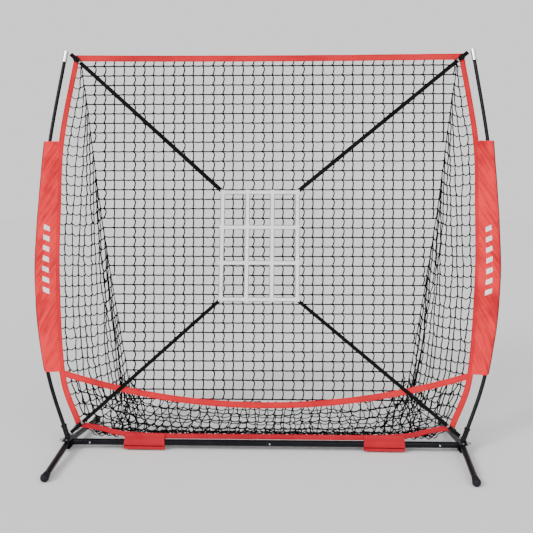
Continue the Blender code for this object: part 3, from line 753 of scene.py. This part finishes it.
def sleeve_print(name, place):
    """Slanted white bars, each a small grid of faces that lies on the cloth."""
    bar = bmesh.new()
    for k in range(PRINT_BARS):
        middle = PRINT_FROM + (PRINT_TO - PRINT_FROM) * k / (PRINT_BARS - 1)
        rows = []
        for r in range(PRINT_ROWS + 1):
            row = []
            for c in range(PRINT_COLUMNS + 1):
                aside = c / PRINT_COLUMNS - 0.5
                u = middle + PRINT_HIGH * (r / PRINT_ROWS - 0.5) + PRINT_SLANT * PRINT_HIGH * aside
                spot = place(u, PRINT_MIDDLE + PRINT_WIDE * aside)
                row.append(bar.verts.new(spot + PLANE_NORMAL * 0.0011))
            rows.append(row)
        for low, high in zip(rows, rows[1:]):
            for c in range(PRINT_COLUMNS):
                bar.faces.new((low[c], low[c + 1], high[c + 1], high[c]))
    bmesh.ops.recalc_face_normals(bar, faces=bar.faces)
    mesh = bpy.data.meshes.new(name + "_sleeve_print")
    bar.to_mesh(mesh)
    bar.free()
    mesh.materials.append(white_ink)
    print_piece = bpy.data.objects.new(name + "_sleeve_print", mesh)
    bpy.context.scene.collection.objects.link(print_piece)
    thicken(print_piece, 0.0004)
    on_frame(print_piece, "white_webbing")
    return print_piece


# %% [markdown]
# ## Poles
#
# Each pole is three lengths of wrapped fibreglass tube that plug together at metal sleeves. A curve with a
# round bevel follows the bow of the pole from its socket to its bright tip, and short rings cover the two
# joints. The bow is one smooth curve, so the three lengths are drawn as one tube.

# %% Draw the poles as bevelled curves
POLE_LOOK_R = 0.0100
JOINT_LOOK_R = 0.0113
TIP_LOOK_R = 0.0132
POLE_FOOT = 0.116
POLE_HEAD = 2.086


def pole_line(side, low, high, count):
    """Points along a pole between two heights."""
    return [leaning(side * at_height(POLE_CURVE, z), z) for z in np.linspace(low, high, count)]


def make_pole(name, side):
    pole = twine_piece(name + "_pole_tube", [pole_line(side, POLE_FOOT, POLE_HEAD, 90)], POLE_LOOK_R, [],
                       fibreglass, sides_step=6)
    on_frame(pole, "black_pole", *(f"{name}_pole_section_{k}" for k in (1, 2, 3)))
    joints = [f"{name}_pole_ferrule_{k}" for k in (1, 2)]
    rings = [pole_line(side, low.z + 0.002, high.z - 0.002, 6) for low, high in map(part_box, joints)]
    ferrules = twine_piece(name + "_pole_joints", rings, JOINT_LOOK_R, [], nickel, sides_step=6)
    on_frame(ferrules, "bright_steel", *joints)
    low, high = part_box(name + "_pole_tip")
    tip = twine_piece(name + "_tip_sleeve", [pole_line(side, low.z + 0.004, high.z - 0.004, 5)], TIP_LOOK_R,
                      [], nickel, sides_step=6)
    on_frame(tip, "bright_steel")


# %% [markdown]
# ## Crossbar tabs
#
# Two flaps of the bottom trim wrap the crossbar and close with hook-and-loop. Seen from the side the cloth
# runs down the front, folds at its lowest edge, and comes up behind the tube. That outline is a list of (y,
# z) points, and the rule moves a strip along it.

# %% Wrap each tab round the crossbar
TAB_PATH = ((0.0080, 0.0830), (0.0005, 0.0700), (-0.0125, 0.0575), (-0.0185, 0.0440), (-0.0195, 0.0330),
            (-0.0190, 0.0210), (-0.0186, 0.0105), (-0.0150, 0.0100), (-0.0138, 0.0185), (-0.0050, 0.0215),
            (0.0060, 0.0222), (0.0155, 0.0285), (0.0188, 0.0400), (0.0165, 0.0520), (0.0130, 0.0660),
            (0.0125, 0.0810))
TAB_CURVE = smooth_line(TAB_PATH, 5)
TAB_LENGTH = line_length(TAB_CURVE)
TAB_FOLD = 0.42             # share of the cloth's length where it hangs lowest
TAB_FOLD_REACH = 0.22
TAB_FLARE = {-1: 0.004, 1: 0.003}
# where the two dark lines of painted shadow sit, under the flap's overlapping edge
TAB_SHADOW_LINES = (0.355, 0.368)
TAB_SHADOW_R = 0.0009


def make_tab(name, side):
    low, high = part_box(name + "_crossbar_tab")

    def place(u, v):
        profile = along_line(TAB_CURVE, v)
        x = low.x + (high.x - low.x) * u
        hang = max(0.0, 1 - abs(v - TAB_FOLD) / TAB_FOLD_REACH)
        flare = TAB_FLARE[side] * hang * (2 * u - 1)
        ripple = 0.0012 * wobble(x, profile.y * 2, 3.0 * side, 16.0)
        droop = 0.0018 * hang * (u - 0.5)
        return Vector((x + flare, profile.x - abs(ripple), profile.y + ripple * 0.6 - droop))

    width = high.x - low.x
    tab = cloth_strip(name + "_tab_cloth", 40, 90, place, (width, TAB_LENGTH), red_tab)
    thicken(tab, 0.0016)
    on_frame(tab, "red_fabric", name + "_crossbar_tab")
    # two dark lines across the front: a painted shadow line under the flap's overlapping edge
    lift = Vector((0, -0.0012, 0))
    rows = [[place(u, v) + lift for u in np.linspace(0.01, 0.99, 60)] for v in TAB_SHADOW_LINES]
    seam = twine_piece(name + "_tab_shadow_line", rows, TAB_SHADOW_R, [], painted_shade_line)
    on_frame(seam, "red_fabric")
    print(name, "tab", round(width, 3), "by", round(TAB_LENGTH, 3))


for side_name, side in SIDES.items():
    make_sleeve(side_name, side)
    make_pole(side_name, side)
    make_tab(side_name, side)

# %% [markdown]
# ### The back of the bag
#
# The back hangs straight down from the top band. Its rows are level and its columns upright, and each cell
# of a column bows a little, because knotted twine keeps the curl of its making. The panel narrows
# downwards, and a gather rope is laced through both of its side edges. The twine is drawn thicker than real
# twine, so that the net still reads as black lines when the whole bag is in view.

# %% Back net and its gather ropes
PITCH_X = 0.0570
PITCH_Z = 0.0545
TWINE_R = 0.0041
ROPE_R = 0.0023
BACK_Y = (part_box("back_net")[0].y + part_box("back_net")[1].y) / 2
TOP_ROW_Z = 2.054
FIRST_COLUMN_X = -1.0569
BACK_ROWS = 36
TRIM_JOIN_Z = 2.100         # where the columns meet the top band
EDGE_GAP = 0.012            # no knot closer to the rope than this
ROPE_LINE = ((1.075, 2.085), (1.062, 1.960), (1.045, 1.856), (0.965, 1.240), (0.878, 0.700), (0.798, 0.229))


def rope_half(z):
    """Half the width of the back net at a height."""
    return float(np.interp(z, [p[1] for p in ROPE_LINE[::-1]], [p[0] for p in ROPE_LINE[::-1]]))


def back_net():
    """Level rows from rope to rope, and columns from the top band down to the foot or to the rope."""
    rows = [TOP_ROW_Z - PITCH_Z * k for k in range(BACK_ROWS)]
    columns = [FIRST_COLUMN_X + PITCH_X * k for k in range(-1, 38)]
    lines = []
    knots = []
    for z in rows:
        half = rope_half(z)
        inside = [x for x in columns if -half + EDGE_GAP < x < half - EDGE_GAP]
        marks = [-half, *inside, half]
        line = []
        for a, b in zip(marks, marks[1:]):
            dip = (a + b) / 2, BACK_Y + 0.001, z - 0.0022 + 0.001 * wobble(a, z, 0, 19.0)
            line += [(a, BACK_Y, z), dip]
        line.append((half, BACK_Y, z))
        lines.append(line)
        knots += [(x, BACK_Y, z) for x in marks]
    for c, x in enumerate(columns):
        levels = [z for z in rows if rope_half(z) - EDGE_GAP > abs(x)]
        if len(levels) < 2:
            continue
        reach = 0.0105 if c % 4 > 1 else 0.0045
        line = [tuple(leaning(x, TRIM_JOIN_Z, -0.001))]
        levels = [TRIM_JOIN_Z, *levels]
        for a, b in zip(levels, levels[1:]):
            lively = 1 + 0.35 * wobble(x, a, 1.0, 13.0)
            for k in range(4):
                t = k / 4
                bow = reach * lively * math.sin(math.pi * t ** BOW_SKEW)
                line.append((x + bow, BACK_Y + 0.0015, a + (b - a) * t))
        line.append((x, BACK_Y, levels[-1]))
        lines.append(line)
    piece = twine_piece("back_net_twine", lines, TWINE_R, knots, twine)
    on_frame(piece, "netting", "back_net")
    print("back net", len(rows), "rows,", len(knots), "knots,", len(piece.data.polygons), "faces")


def gather_ropes():
    """Two cords wound round each other, down the edge of the back and on along the pocket floor."""
    for name, side in SIDES.items():
        line = [Vector((side * x, BACK_Y + 0.001, z)) for x, z in ROPE_LINE]
        line += [Vector((side * 0.785, 0.330, 0.150)), Vector((side * 0.770, 0.120, 0.105)),
                 Vector((side * 0.760, 0.022, 0.098))]
        curve = smooth_line(line, 8)
        turns = [p + Vector((0.0022 * math.sin(k * 1.9), 0.002 * math.cos(k * 1.9), 0))
                 for k, p in enumerate(curve)]
        rope = twine_piece(name + "_gather_rope", [curve, turns], ROPE_R, [], twine)
        on_frame(rope, "netting")
        print(name, "gather rope", round(line_length(curve), 2), "m")


back_net()
gather_ropes()

# %% [markdown]
# ### The sides of the bag
#
# Each side is a wall of net between the side trim, which leans back, and the gather rope, which doesn't.
# The cells are laid out from the trim at one even width, a little squeezed by the slack of the wall, and
# those that are left over are bunched beside the rope. Lower down, where the trim stands well in front of
# the rope, the wall is deep and more cells are spread out. The shares that bunch, fold and sag it are set
# one by one.

# %% Side nets
SIDE_COLUMNS = 15
SIDE_ROWS = 35
SIDE_PITCH = 0.041          # cells squeezed by the slack of the wall
SIDE_TOP_Z = 2.046
SIDE_PITCH_Z = 0.0553
SIDE_FOOT_Z = 0.10
SIDE_TWINE = 0.80           # thickness of this twine over that of the back net
DEEP_WALL = 0.35            # a wall this deep sags and folds in full
CELL_STEPS = 3
SAME_SPOT = 0.0001


def side_path(side, z_front, z_back):
    """The line of one row, seen from above: inwards from the trim, then back to the rope."""
    start = leaning(side * (at_height(TRIM_CURVE, z_front) - 0.006), z_front, 0.0055)
    end = Vector((side * rope_half(z_back), BACK_Y, z_back))
    depth = end.y - start.y
    turn = Vector((side * (abs(end.x) + 0.40 * max(0.0, abs(start.x) - abs(end.x)) + 0.01),
                   start.y + 0.35 * depth, (z_front + z_back) / 2 - 0.012))
    return [start.lerp(turn, t).lerp(turn.lerp(end, t), t) for t in np.linspace(0, 1, 17)]


def side_knots(side):
    """Rows of knots from the trim to the rope, with the folds and the slack of a wall that hangs."""
    grid = []
    for r in range(SIDE_ROWS):
        z_front = SIDE_TOP_Z - SIDE_PITCH_Z * r
        z_back = max(TOP_ROW_Z - PITCH_Z * r, SIDE_FOOT_Z)
        path = side_path(side, z_front, z_back)
        total = line_length(path)
        bunch = min(0.5 * total, 0.010 + 0.080 * min(1.0, total / 0.34) ** 1.5)
        free = total - bunch
        row = []
        for c in range(SIDE_COLUMNS):
            wanted = c * SIDE_PITCH
            crowded = max(0.0, wanted - free)
            reach = min(wanted, free) + bunch * min(1.0, crowded / (2.6 * bunch)) ** 0.8
            if reach > total - 0.004 or c == SIDE_COLUMNS - 1:
                row.append(path[-1].copy())
                continue
            p = along_line(path, reach / total)
            loose = 0.0 if c == 0 else min(1.0, (total - reach) / 0.04)
            depth = min(1.0, total / DEEP_WALL)
            fold = (0.024 * (1 if c % 2 else -0.6) if crowded > 0 else 0.004) * loose * depth
            sag = (0.006 + 0.020 * depth) * min(1.0, 1.6 * reach / total) * loose
            sway = 0.007 * wobble(p.x * 1.3, p.z, c * 0.37 + side, 11.0) * loose
            shift = 0.014 * wobble(p.z, c * 0.35, side * 2.0, 3.0) * loose * depth
            uneven = 0.0090 * wobble(c * 1.9, p.z * 17.0, side * 6.0, 1.0) * loose
            move_x = side * (sway + shift) + 0.6 * uneven
            row.append(p + Vector((move_x, sway - abs(fold), 0.7 * sway - sag + uneven)))
        grid.append(row)
    return grid


def cut_at_rope(grid, lines):
    """Shorten rows and columns where their knots have run into the gather rope."""
    rows = len(grid)
    cut = []
    for r, line in enumerate(lines[:rows]):
        free = sum((p - grid[r][-1]).length > SAME_SPOT for p in grid[r])
        cut.append(line[:(CELL_STEPS - 1) * free + 1])
    for c, line in enumerate(lines[rows:-1]):
        first = next((r for r in range(rows) if (grid[r][c] - grid[r][-1]).length > SAME_SPOT), rows)
        if first < rows - 1:
            cut.append(line[CELL_STEPS * max(0, first - 1):])
    return cut


def side_net(name, side):
    grid = side_knots(side)
    lines = limp_lines(grid, sag=0.0110, bow=0.0055, across=(side * 0.8, -0.5, 0), steps=CELL_STEPS)
    lines = cut_at_rope(grid, lines)
    knots = [p for row in grid for p in row[1:-1] if (p - row[-1]).length > 0.010]
    piece = twine_piece(name + "_side_net_twine", lines, TWINE_R * SIDE_TWINE, knots, twine)
    on_frame(piece, "netting", name + "_side_net")
    print(name, "side net", len(knots), "knots,", len(piece.data.polygons), "faces")


for side_name, side in SIDES.items():
    side_net(side_name, side)

# %% [markdown]
# ### The ball pocket
#
# Between the lip and the bottom trim the net hangs loose. Its floor runs back to the foot of the back net,
# and the spare net lies in a rumpled heap behind the bottom trim, with a few loops below it. No rule gives
# the real tangle, so waves and smooth noise of a few sizes make one of the same kind.

# %% Pocket front, floor and heap
POCKET_COLUMNS = 41
POCKET_ROWS = 5
POCKET_TWINE = 0.76         # thickness of this twine over that of the back net
FLOOR_COLUMNS = 35
FLOOR_ROWS = 7
FLOOR_FRONT_HALF = 0.905
FLOOR_BACK_HALF = 0.775
FLOOR_TWINE = 0.64
HEAP_LINES = 3
HEAP_POINTS = 230
HEAP_FROM = -0.79
HEAP_REACH = 1.62
FOLDS = 14
HANGING_LINES = 17
HANG_Z = 0.062              # as low as the net hangs behind the crossbar
HANG_ROWS = (0.15, 0.40, 0.65, 0.90)


def bottom_height(x):
    """The height of the bottom trim's middle line."""
    curve = smooth_line(BOTTOM_LINE, 8)
    return float(np.interp(abs(x), [p.x for p in curve], [p.y for p in curve]))


def pocket_front():
    """The net from the lip down to the bottom trim. It bulges most half way down."""
    grid = []
    for r in range(POCKET_ROWS):
        row = []
        for c in range(POCKET_COLUMNS):
            part = 2 * c / (POCKET_COLUMNS - 1) - 1
            high_x = part * 1.010
            low_x = part * 0.925
            top = leaning(high_x, lip_height(high_x) - 0.008, 0.009)
            foot_z = bottom_height(low_x) + 0.008
            foot = Vector((low_x, 0.006 + 0.14 * (foot_z - BAR_Z) + 0.004, foot_z))
            t = r / (POCKET_ROWS - 1)
            p = top.lerp(foot, t)
            loose = math.sin(math.pi * t)
            p.y += loose * (0.022 + 0.030 * wobble(p.x, p.z, 2.0, 6.0))
            p.x += loose * (0.012 * wobble(p.x, p.z, 5.0, 21.0) - 0.010 * math.sin(part * 9))
            p.z += loose * (0.010 * wobble(p.x, p.z, 8.0, 19.0) - 0.010)
            row.append(p)
        grid.append(row)
    lines = limp_lines(grid, sag=0.007, bow=0.009)
    knots = [p for row in grid[1:-1] for p in row]
    piece = twine_piece("pocket_front_twine", lines, TWINE_R * POCKET_TWINE, knots, twine)
    on_frame(piece, "netting", "pocket_front_net")
    print("pocket front", len(knots), "knots")


def pocket_floor():
    """The net from the bottom trim back to the foot of the back net, with the heap and the loops."""
    grid = []
    for r in range(FLOOR_ROWS):
        t = r / (FLOOR_ROWS - 1)
        row = []
        for c in range(FLOOR_COLUMNS):
            part = 2 * c / (FLOOR_COLUMNS - 1) - 1
            x = part * (FLOOR_FRONT_HALF + (FLOOR_BACK_HALF - FLOOR_FRONT_HALF) * t)
            y = 0.030 + (BACK_Y - 0.032) * t ** 1.15
            rise = max(0.0, abs(part) - 0.72) * 0.18
            z = 0.082 + rise + 0.055 * t * t + 0.016 * wobble(x, y, 3.0, 14.0)
            z -= 0.018 * math.sin(math.pi * t) * (1 - abs(part))
            row.append(Vector((x + 0.014 * wobble(x, y, 7.0, 18.0), y, z)))
        grid.append(row)
    lines = limp_lines(grid, sag=0.008, bow=0.010, across=(0.8, 0, 0.4))
    knots = [p for row in grid for p in row]
    lines += heap_lines() + bunch_lines() + corner_loops()
    piece = twine_piece("pocket_floor_twine", lines, TWINE_R * FLOOR_TWINE, knots, twine)
    on_frame(piece, "netting", "pocket_floor_net")
    print("pocket floor", len(knots), "knots,", len(piece.data.polygons), "faces")


def heap_lines():
    """Slack twine that lies in small loops along the back of the bottom trim."""
    lines = []
    for k in range(HEAP_LINES):
        line = []
        for i in range(HEAP_POINTS):
            x = HEAP_FROM + HEAP_REACH * i / (HEAP_POINTS - 1)
            curl = i * 2.1 + k * 1.7
            y = 0.036 + 0.007 * k + 0.014 * math.sin(curl) + 0.012 * wobble(x, k * 1.3, 0.0, 20.0)
            z = bottom_height(x) + 0.010 + 0.0014 * k + 0.006 * math.sin(curl * 0.73 + k)
            z += 0.007 * wobble(x, k * 2.1, 4.0, 17.0)
            swing = 0.010 * math.cos(curl * 0.9)
            line.append(Vector((x + swing, y, z)))
        lines.append(line)
    return lines


def bunch_lines():
    """The folds beside each gather rope, carried on down into the corners of the pocket."""
    lines = []
    for side in SIDES.values():
        for k in range(FOLDS):
            share = k / (FOLDS - 1)
            top = Vector((side * (0.845 - 0.075 * share), 0.330 + 0.100 * share, 0.250 + 0.02 * (k % 3)))
            foot = Vector((side * (0.800 - 0.190 * share), 0.040 + 0.030 * (k % 3), 0.098))
            line = []
            for t in np.linspace(0, 1, 22):
                p = top.lerp(foot, t)
                p.x += side * (0.014 * math.sin(t * 11 + k * 2.3) + 0.020 * wobble(p.z, k * 1.7, side, 12.0))
                p.y += 0.020 * wobble(p.z, k * 0.9, side * 3.0, 15.0)
                p.z = max(p.z, bottom_height(p.x) + 0.010)
                line.append(p)
            lines.append(line)
    return lines


def corner_loops():
    """The cells that hang below the bottom trim on both sides, behind the crossbar."""
    lines = []
    for side in SIDES.values():
        for k in range(HANGING_LINES):
            top_x = side * (0.945 - 0.0165 * k)
            start = Vector((top_x, 0.020, bottom_height(top_x) - 0.004))
            end = Vector((side * (abs(top_x) - 0.075), 0.034 + 0.004 * (k % 2), HANG_Z + 0.004 * (k % 3)))
            line = []
            for t in np.linspace(0, 1, 9):
                p = start.lerp(end, t)
                p.x += side * 0.008 * math.sin(t * 9 + k)
                line.append(p)
            lines.append(line)
        for share in HANG_ROWS:
            line = []
            for x in np.linspace(0.915, 0.660, 30):
                top = bottom_height(x) - 0.004
                z = top + (HANG_Z - top) * share + 0.005 * math.sin(x * 160)
                y = 0.026 + 0.006 * math.sin(x * 90)
                line.append(Vector((side * (x - 0.05 * share), y, max(z, HANG_Z - 0.001))))
            lines.append(line)
    return lines


pocket_front()
pocket_floor()

# %% [markdown]
# ## The strike zone
#
# Eight strips of white webbing are sewn into nine windows. The level strips pass behind the upright ones,
# every crossing is closed with a square of stitches, and a grey line runs along both edges of each strip:
# partly a seam, partly painted shade at the strip's edges.
# The zone hangs a little in front of the red trims.

# %% Eight strips and their stitches
ZONE_LOW, ZONE_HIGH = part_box("strike_zone")
WEB_W = 0.025
WEB_THICK = 0.0012
ZONE_STRIPS = 4             # in each direction
ZONE_X = (ZONE_LOW.x + ZONE_HIGH.x) / 2
ZONE_Z = (ZONE_LOW.z + ZONE_HIGH.z) / 2
ZONE_W = ZONE_HIGH.x - ZONE_LOW.x
ZONE_H = (ZONE_HIGH.z - ZONE_LOW.z) / PLANE_UP.z - 0.0005
ZONE_FRONT = -0.0060
UPRIGHT_OUT = 0.0007        # the upright strips lie this far out, the level ones this far in
STITCH_OUT = 0.0020
CROSSING_THREAD_R = 0.00045
# the grey edge lines are partly seam and partly painted shade, so they are thick
SEAM_AND_SHADE_R = 0.0018


def rectangle(half_a, half_b):
    """The closed outline of a rectangle, as five corners."""
    return [(-half_a, -half_b), (half_a, -half_b), (half_a, half_b), (-half_a, half_b), (-half_a, -half_b)]


def zone_point(u, v, out=0.0):
    """A point of the zone: u to the right, v up the leaning plane, out towards the pitcher."""
    return leaning(ZONE_X, ZONE_Z, ZONE_FRONT) + Vector((u, 0, 0)) + v * PLANE_UP + out * PLANE_NORMAL


def zone_strip(name, upright, offset):
    span = ZONE_H if upright else ZONE_W
    level = UPRIGHT_OUT if upright else -UPRIGHT_OUT

    def place(u, v):
        along = (u - 0.5) * span
        across = offset + (v - 0.5) * WEB_W
        soft = 0.0012 * wobble(along, offset * 5, 2.0 if upright else 9.0, 7.0)
        spot = (across + soft, along) if upright else (along, across + soft)
        return zone_point(*spot, level) + PLANE_NORMAL * 0.6 * soft

    strip = cloth_strip(name, 72 if upright else 54, 6, place, (span, WEB_W), white_web)
    thicken(strip, WEB_THICK)
    on_frame(strip, "white_webbing")
    return strip


def crossing_stitches(marks_x, marks_z):
    """A square of thread and one diagonal on every crossing."""
    reach = WEB_W / 2 - 0.0035
    corners = rectangle(reach, reach) + [(reach, reach)]
    return [[zone_point(x + a, z + b, STITCH_OUT) for a, b in corners] for x in marks_x for z in marks_z]


def seam_steps(marks):
    """For each gap between two crossings, the places of a seam along it."""
    return [np.linspace(low + WEB_W / 2, high - WEB_W / 2, 6).tolist()
            for low, high in zip(marks, marks[1:])]


def edge_seams_and_shade(marks_x, marks_z):
    """A grey line along both edges of every strip, stopping at the crossings: partly a seam, partly painted
    shade.
    """
    lines = []
    reach = WEB_W / 2 - 0.0016
    for edge in (-reach, reach):
        for steps in seam_steps(marks_z):
            lines += [[zone_point(x + edge, z, STITCH_OUT) for z in steps] for x in marks_x]
        for steps in seam_steps(marks_x):
            lines += [[zone_point(x, z + edge, 0.0008) for x in steps] for z in marks_z]
    return lines


def strike_zone():
    places = [k / (ZONE_STRIPS - 1) - 0.5 for k in range(ZONE_STRIPS)]
    across = [share * (ZONE_W - WEB_W) for share in places]
    up = [share * (ZONE_H - WEB_W) for share in places]
    strips = [zone_strip(f"zone_upright_{k}", True, x) for k, x in enumerate(across, 1)]
    strips += [zone_strip(f"zone_level_{k}", False, z) for k, z in enumerate(up, 1)]
    stitches = twine_piece("zone_stitches", crossing_stitches(across, up), CROSSING_THREAD_R, [],
                           white_web)
    on_frame(stitches, "white_webbing", "strike_zone")
    # grey edge lines: seams with painted shade along the strip edges
    seam_and_shade_lines = twine_piece("zone_edge_seams", edge_seams_and_shade(across, up), SEAM_AND_SHADE_R, [], grey_seam_and_shade)
    on_frame(seam_and_shade_lines, "white_webbing")
    for k, strip in enumerate(strips):
        upright = k < ZONE_STRIPS
        others = [s.name for s in (strips[ZONE_STRIPS:] if upright else strips[:ZONE_STRIPS])]
    print("strike zone", round(ZONE_W, 3), "by", round(ZONE_H, 3), "m")


strike_zone()

# %% [markdown]
# ## Elastic straps and sliders
#
# Four woven elastic straps pull the zone's corners to the corners of the frame. Each runs through a slider
# that sets its length, and its free end is doubled back and sewn. The sliders move in the CAD, so each new
# slider rides on its slider's body. A slider here is three loops of thick wire in black plastic.

# %% Straps with their sewn ends, and sliders
TOP_STRAP_END = (1.136, 2.125)
LOW_STRAP_END = (1.003, 0.084)
SLIDER_AT = 0.045
TOP_STRAP_W = 0.0230
LOW_STRAP_W = 0.0195
STRAP_THICK = 0.0014
FOLD_FROM = 0.012           # the doubled end, in metres from the strap's outer end
FOLD_TO = 0.085
FOLD_NARROWER = 0.98
FOLD_LIFT = 0.0019
STITCH_FROM = 0.072
STITCH_TO = 0.079
STITCH_LIFT = 0.0031
STRAP_THREAD_R = 0.00055
RAIL_R = 0.0019
RAIL_LIFT = 0.0030


def strap_ends(side, top):
    """A strap's end at the frame and its end at the corner of the strike zone."""
    end_x, end_z = TOP_STRAP_END if top else LOW_STRAP_END
    outer = leaning(side * end_x, end_z, ZONE_FRONT)
    corner = zone_point(side * (ZONE_W / 2), (1 if top else -1) * ZONE_H / 2)
    return outer, corner


def band_between(name, start, end, width, lift):
    """A straight strap between two points, and its length."""
    along = end - start
    across = PLANE_NORMAL.cross(along).normalized()
    length = along.length

    def place(u, v):
        sway = 0.0009 * wobble(u * length, start.x, 3.0, 8.0)
        return start + along * u + across * (v - 0.5) * width + PLANE_NORMAL * (lift + sway)

    band = cloth_strip(name, max(8, int(length / 0.02)), 4, place, (length, width), black_web)
    thicken(band, STRAP_THICK)
    on_frame(band, "black_webbing")
    return band, length


def make_strap(name, side, top):
    outer, corner = strap_ends(side, top)
    along = (corner - outer).normalized()
    width = TOP_STRAP_W if top else LOW_STRAP_W
    band, length = band_between(name + "_strap_band", outer, corner + 0.014 * along, width, 0.0)
    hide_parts(name + "_strap")
    fold_width = width * FOLD_NARROWER
    double, double_length = band_between(name + "_strap_fold", outer + FOLD_FROM * along,
                                         outer + FOLD_TO * along, fold_width, FOLD_LIFT)
    side_way = PLANE_NORMAL.cross(along).normalized()

    def stitch_end(reach, way):
        return outer + along * reach + side_way * (width * 0.42 * way) + PLANE_NORMAL * STITCH_LIFT

    rows = [[stitch_end(reach, -1), stitch_end(reach, 1)] for reach in (STITCH_FROM, STITCH_TO)]
    rows.append([stitch_end(STITCH_FROM, -1), stitch_end(STITCH_TO, 1)])
    thread = twine_piece(name + "_strap_stitches", rows, STRAP_THREAD_R, [], white_web)
    on_frame(thread, "white_webbing")
    make_slider(name, outer + SLIDER_AT * along, along, side_way, width)
    print(name, "strap", round(length, 3), "m")


def make_slider(name, middle, along, side_way, width):
    """A three-bar slider: an outline and a middle bar over the strap, and a loop under it."""
    half_w = width / 2 + 0.0030
    half_l = 0.0110
    outline = rectangle(half_l, half_w)
    under = rectangle(half_l * 0.5, half_w)
    rails = [[middle + along * a + side_way * b + PLANE_NORMAL * RAIL_LIFT for a, b in outline],
             [middle + side_way * b + PLANE_NORMAL * 0.0036 for b in (-half_w, half_w)],
             [middle + along * a + side_way * b - PLANE_NORMAL * 0.0016 for a, b in under]]
    slider = twine_piece(name + "_slider_frame", rails, RAIL_R, [], plastic, sides_step=2)
    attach(slider, name + "_slider_body")
    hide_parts(name + "_strap_slider")


for side_name, side in SIDES.items():
    make_strap(side_name + "_upper", side, True)
    make_strap(side_name + "_lower", side, False)
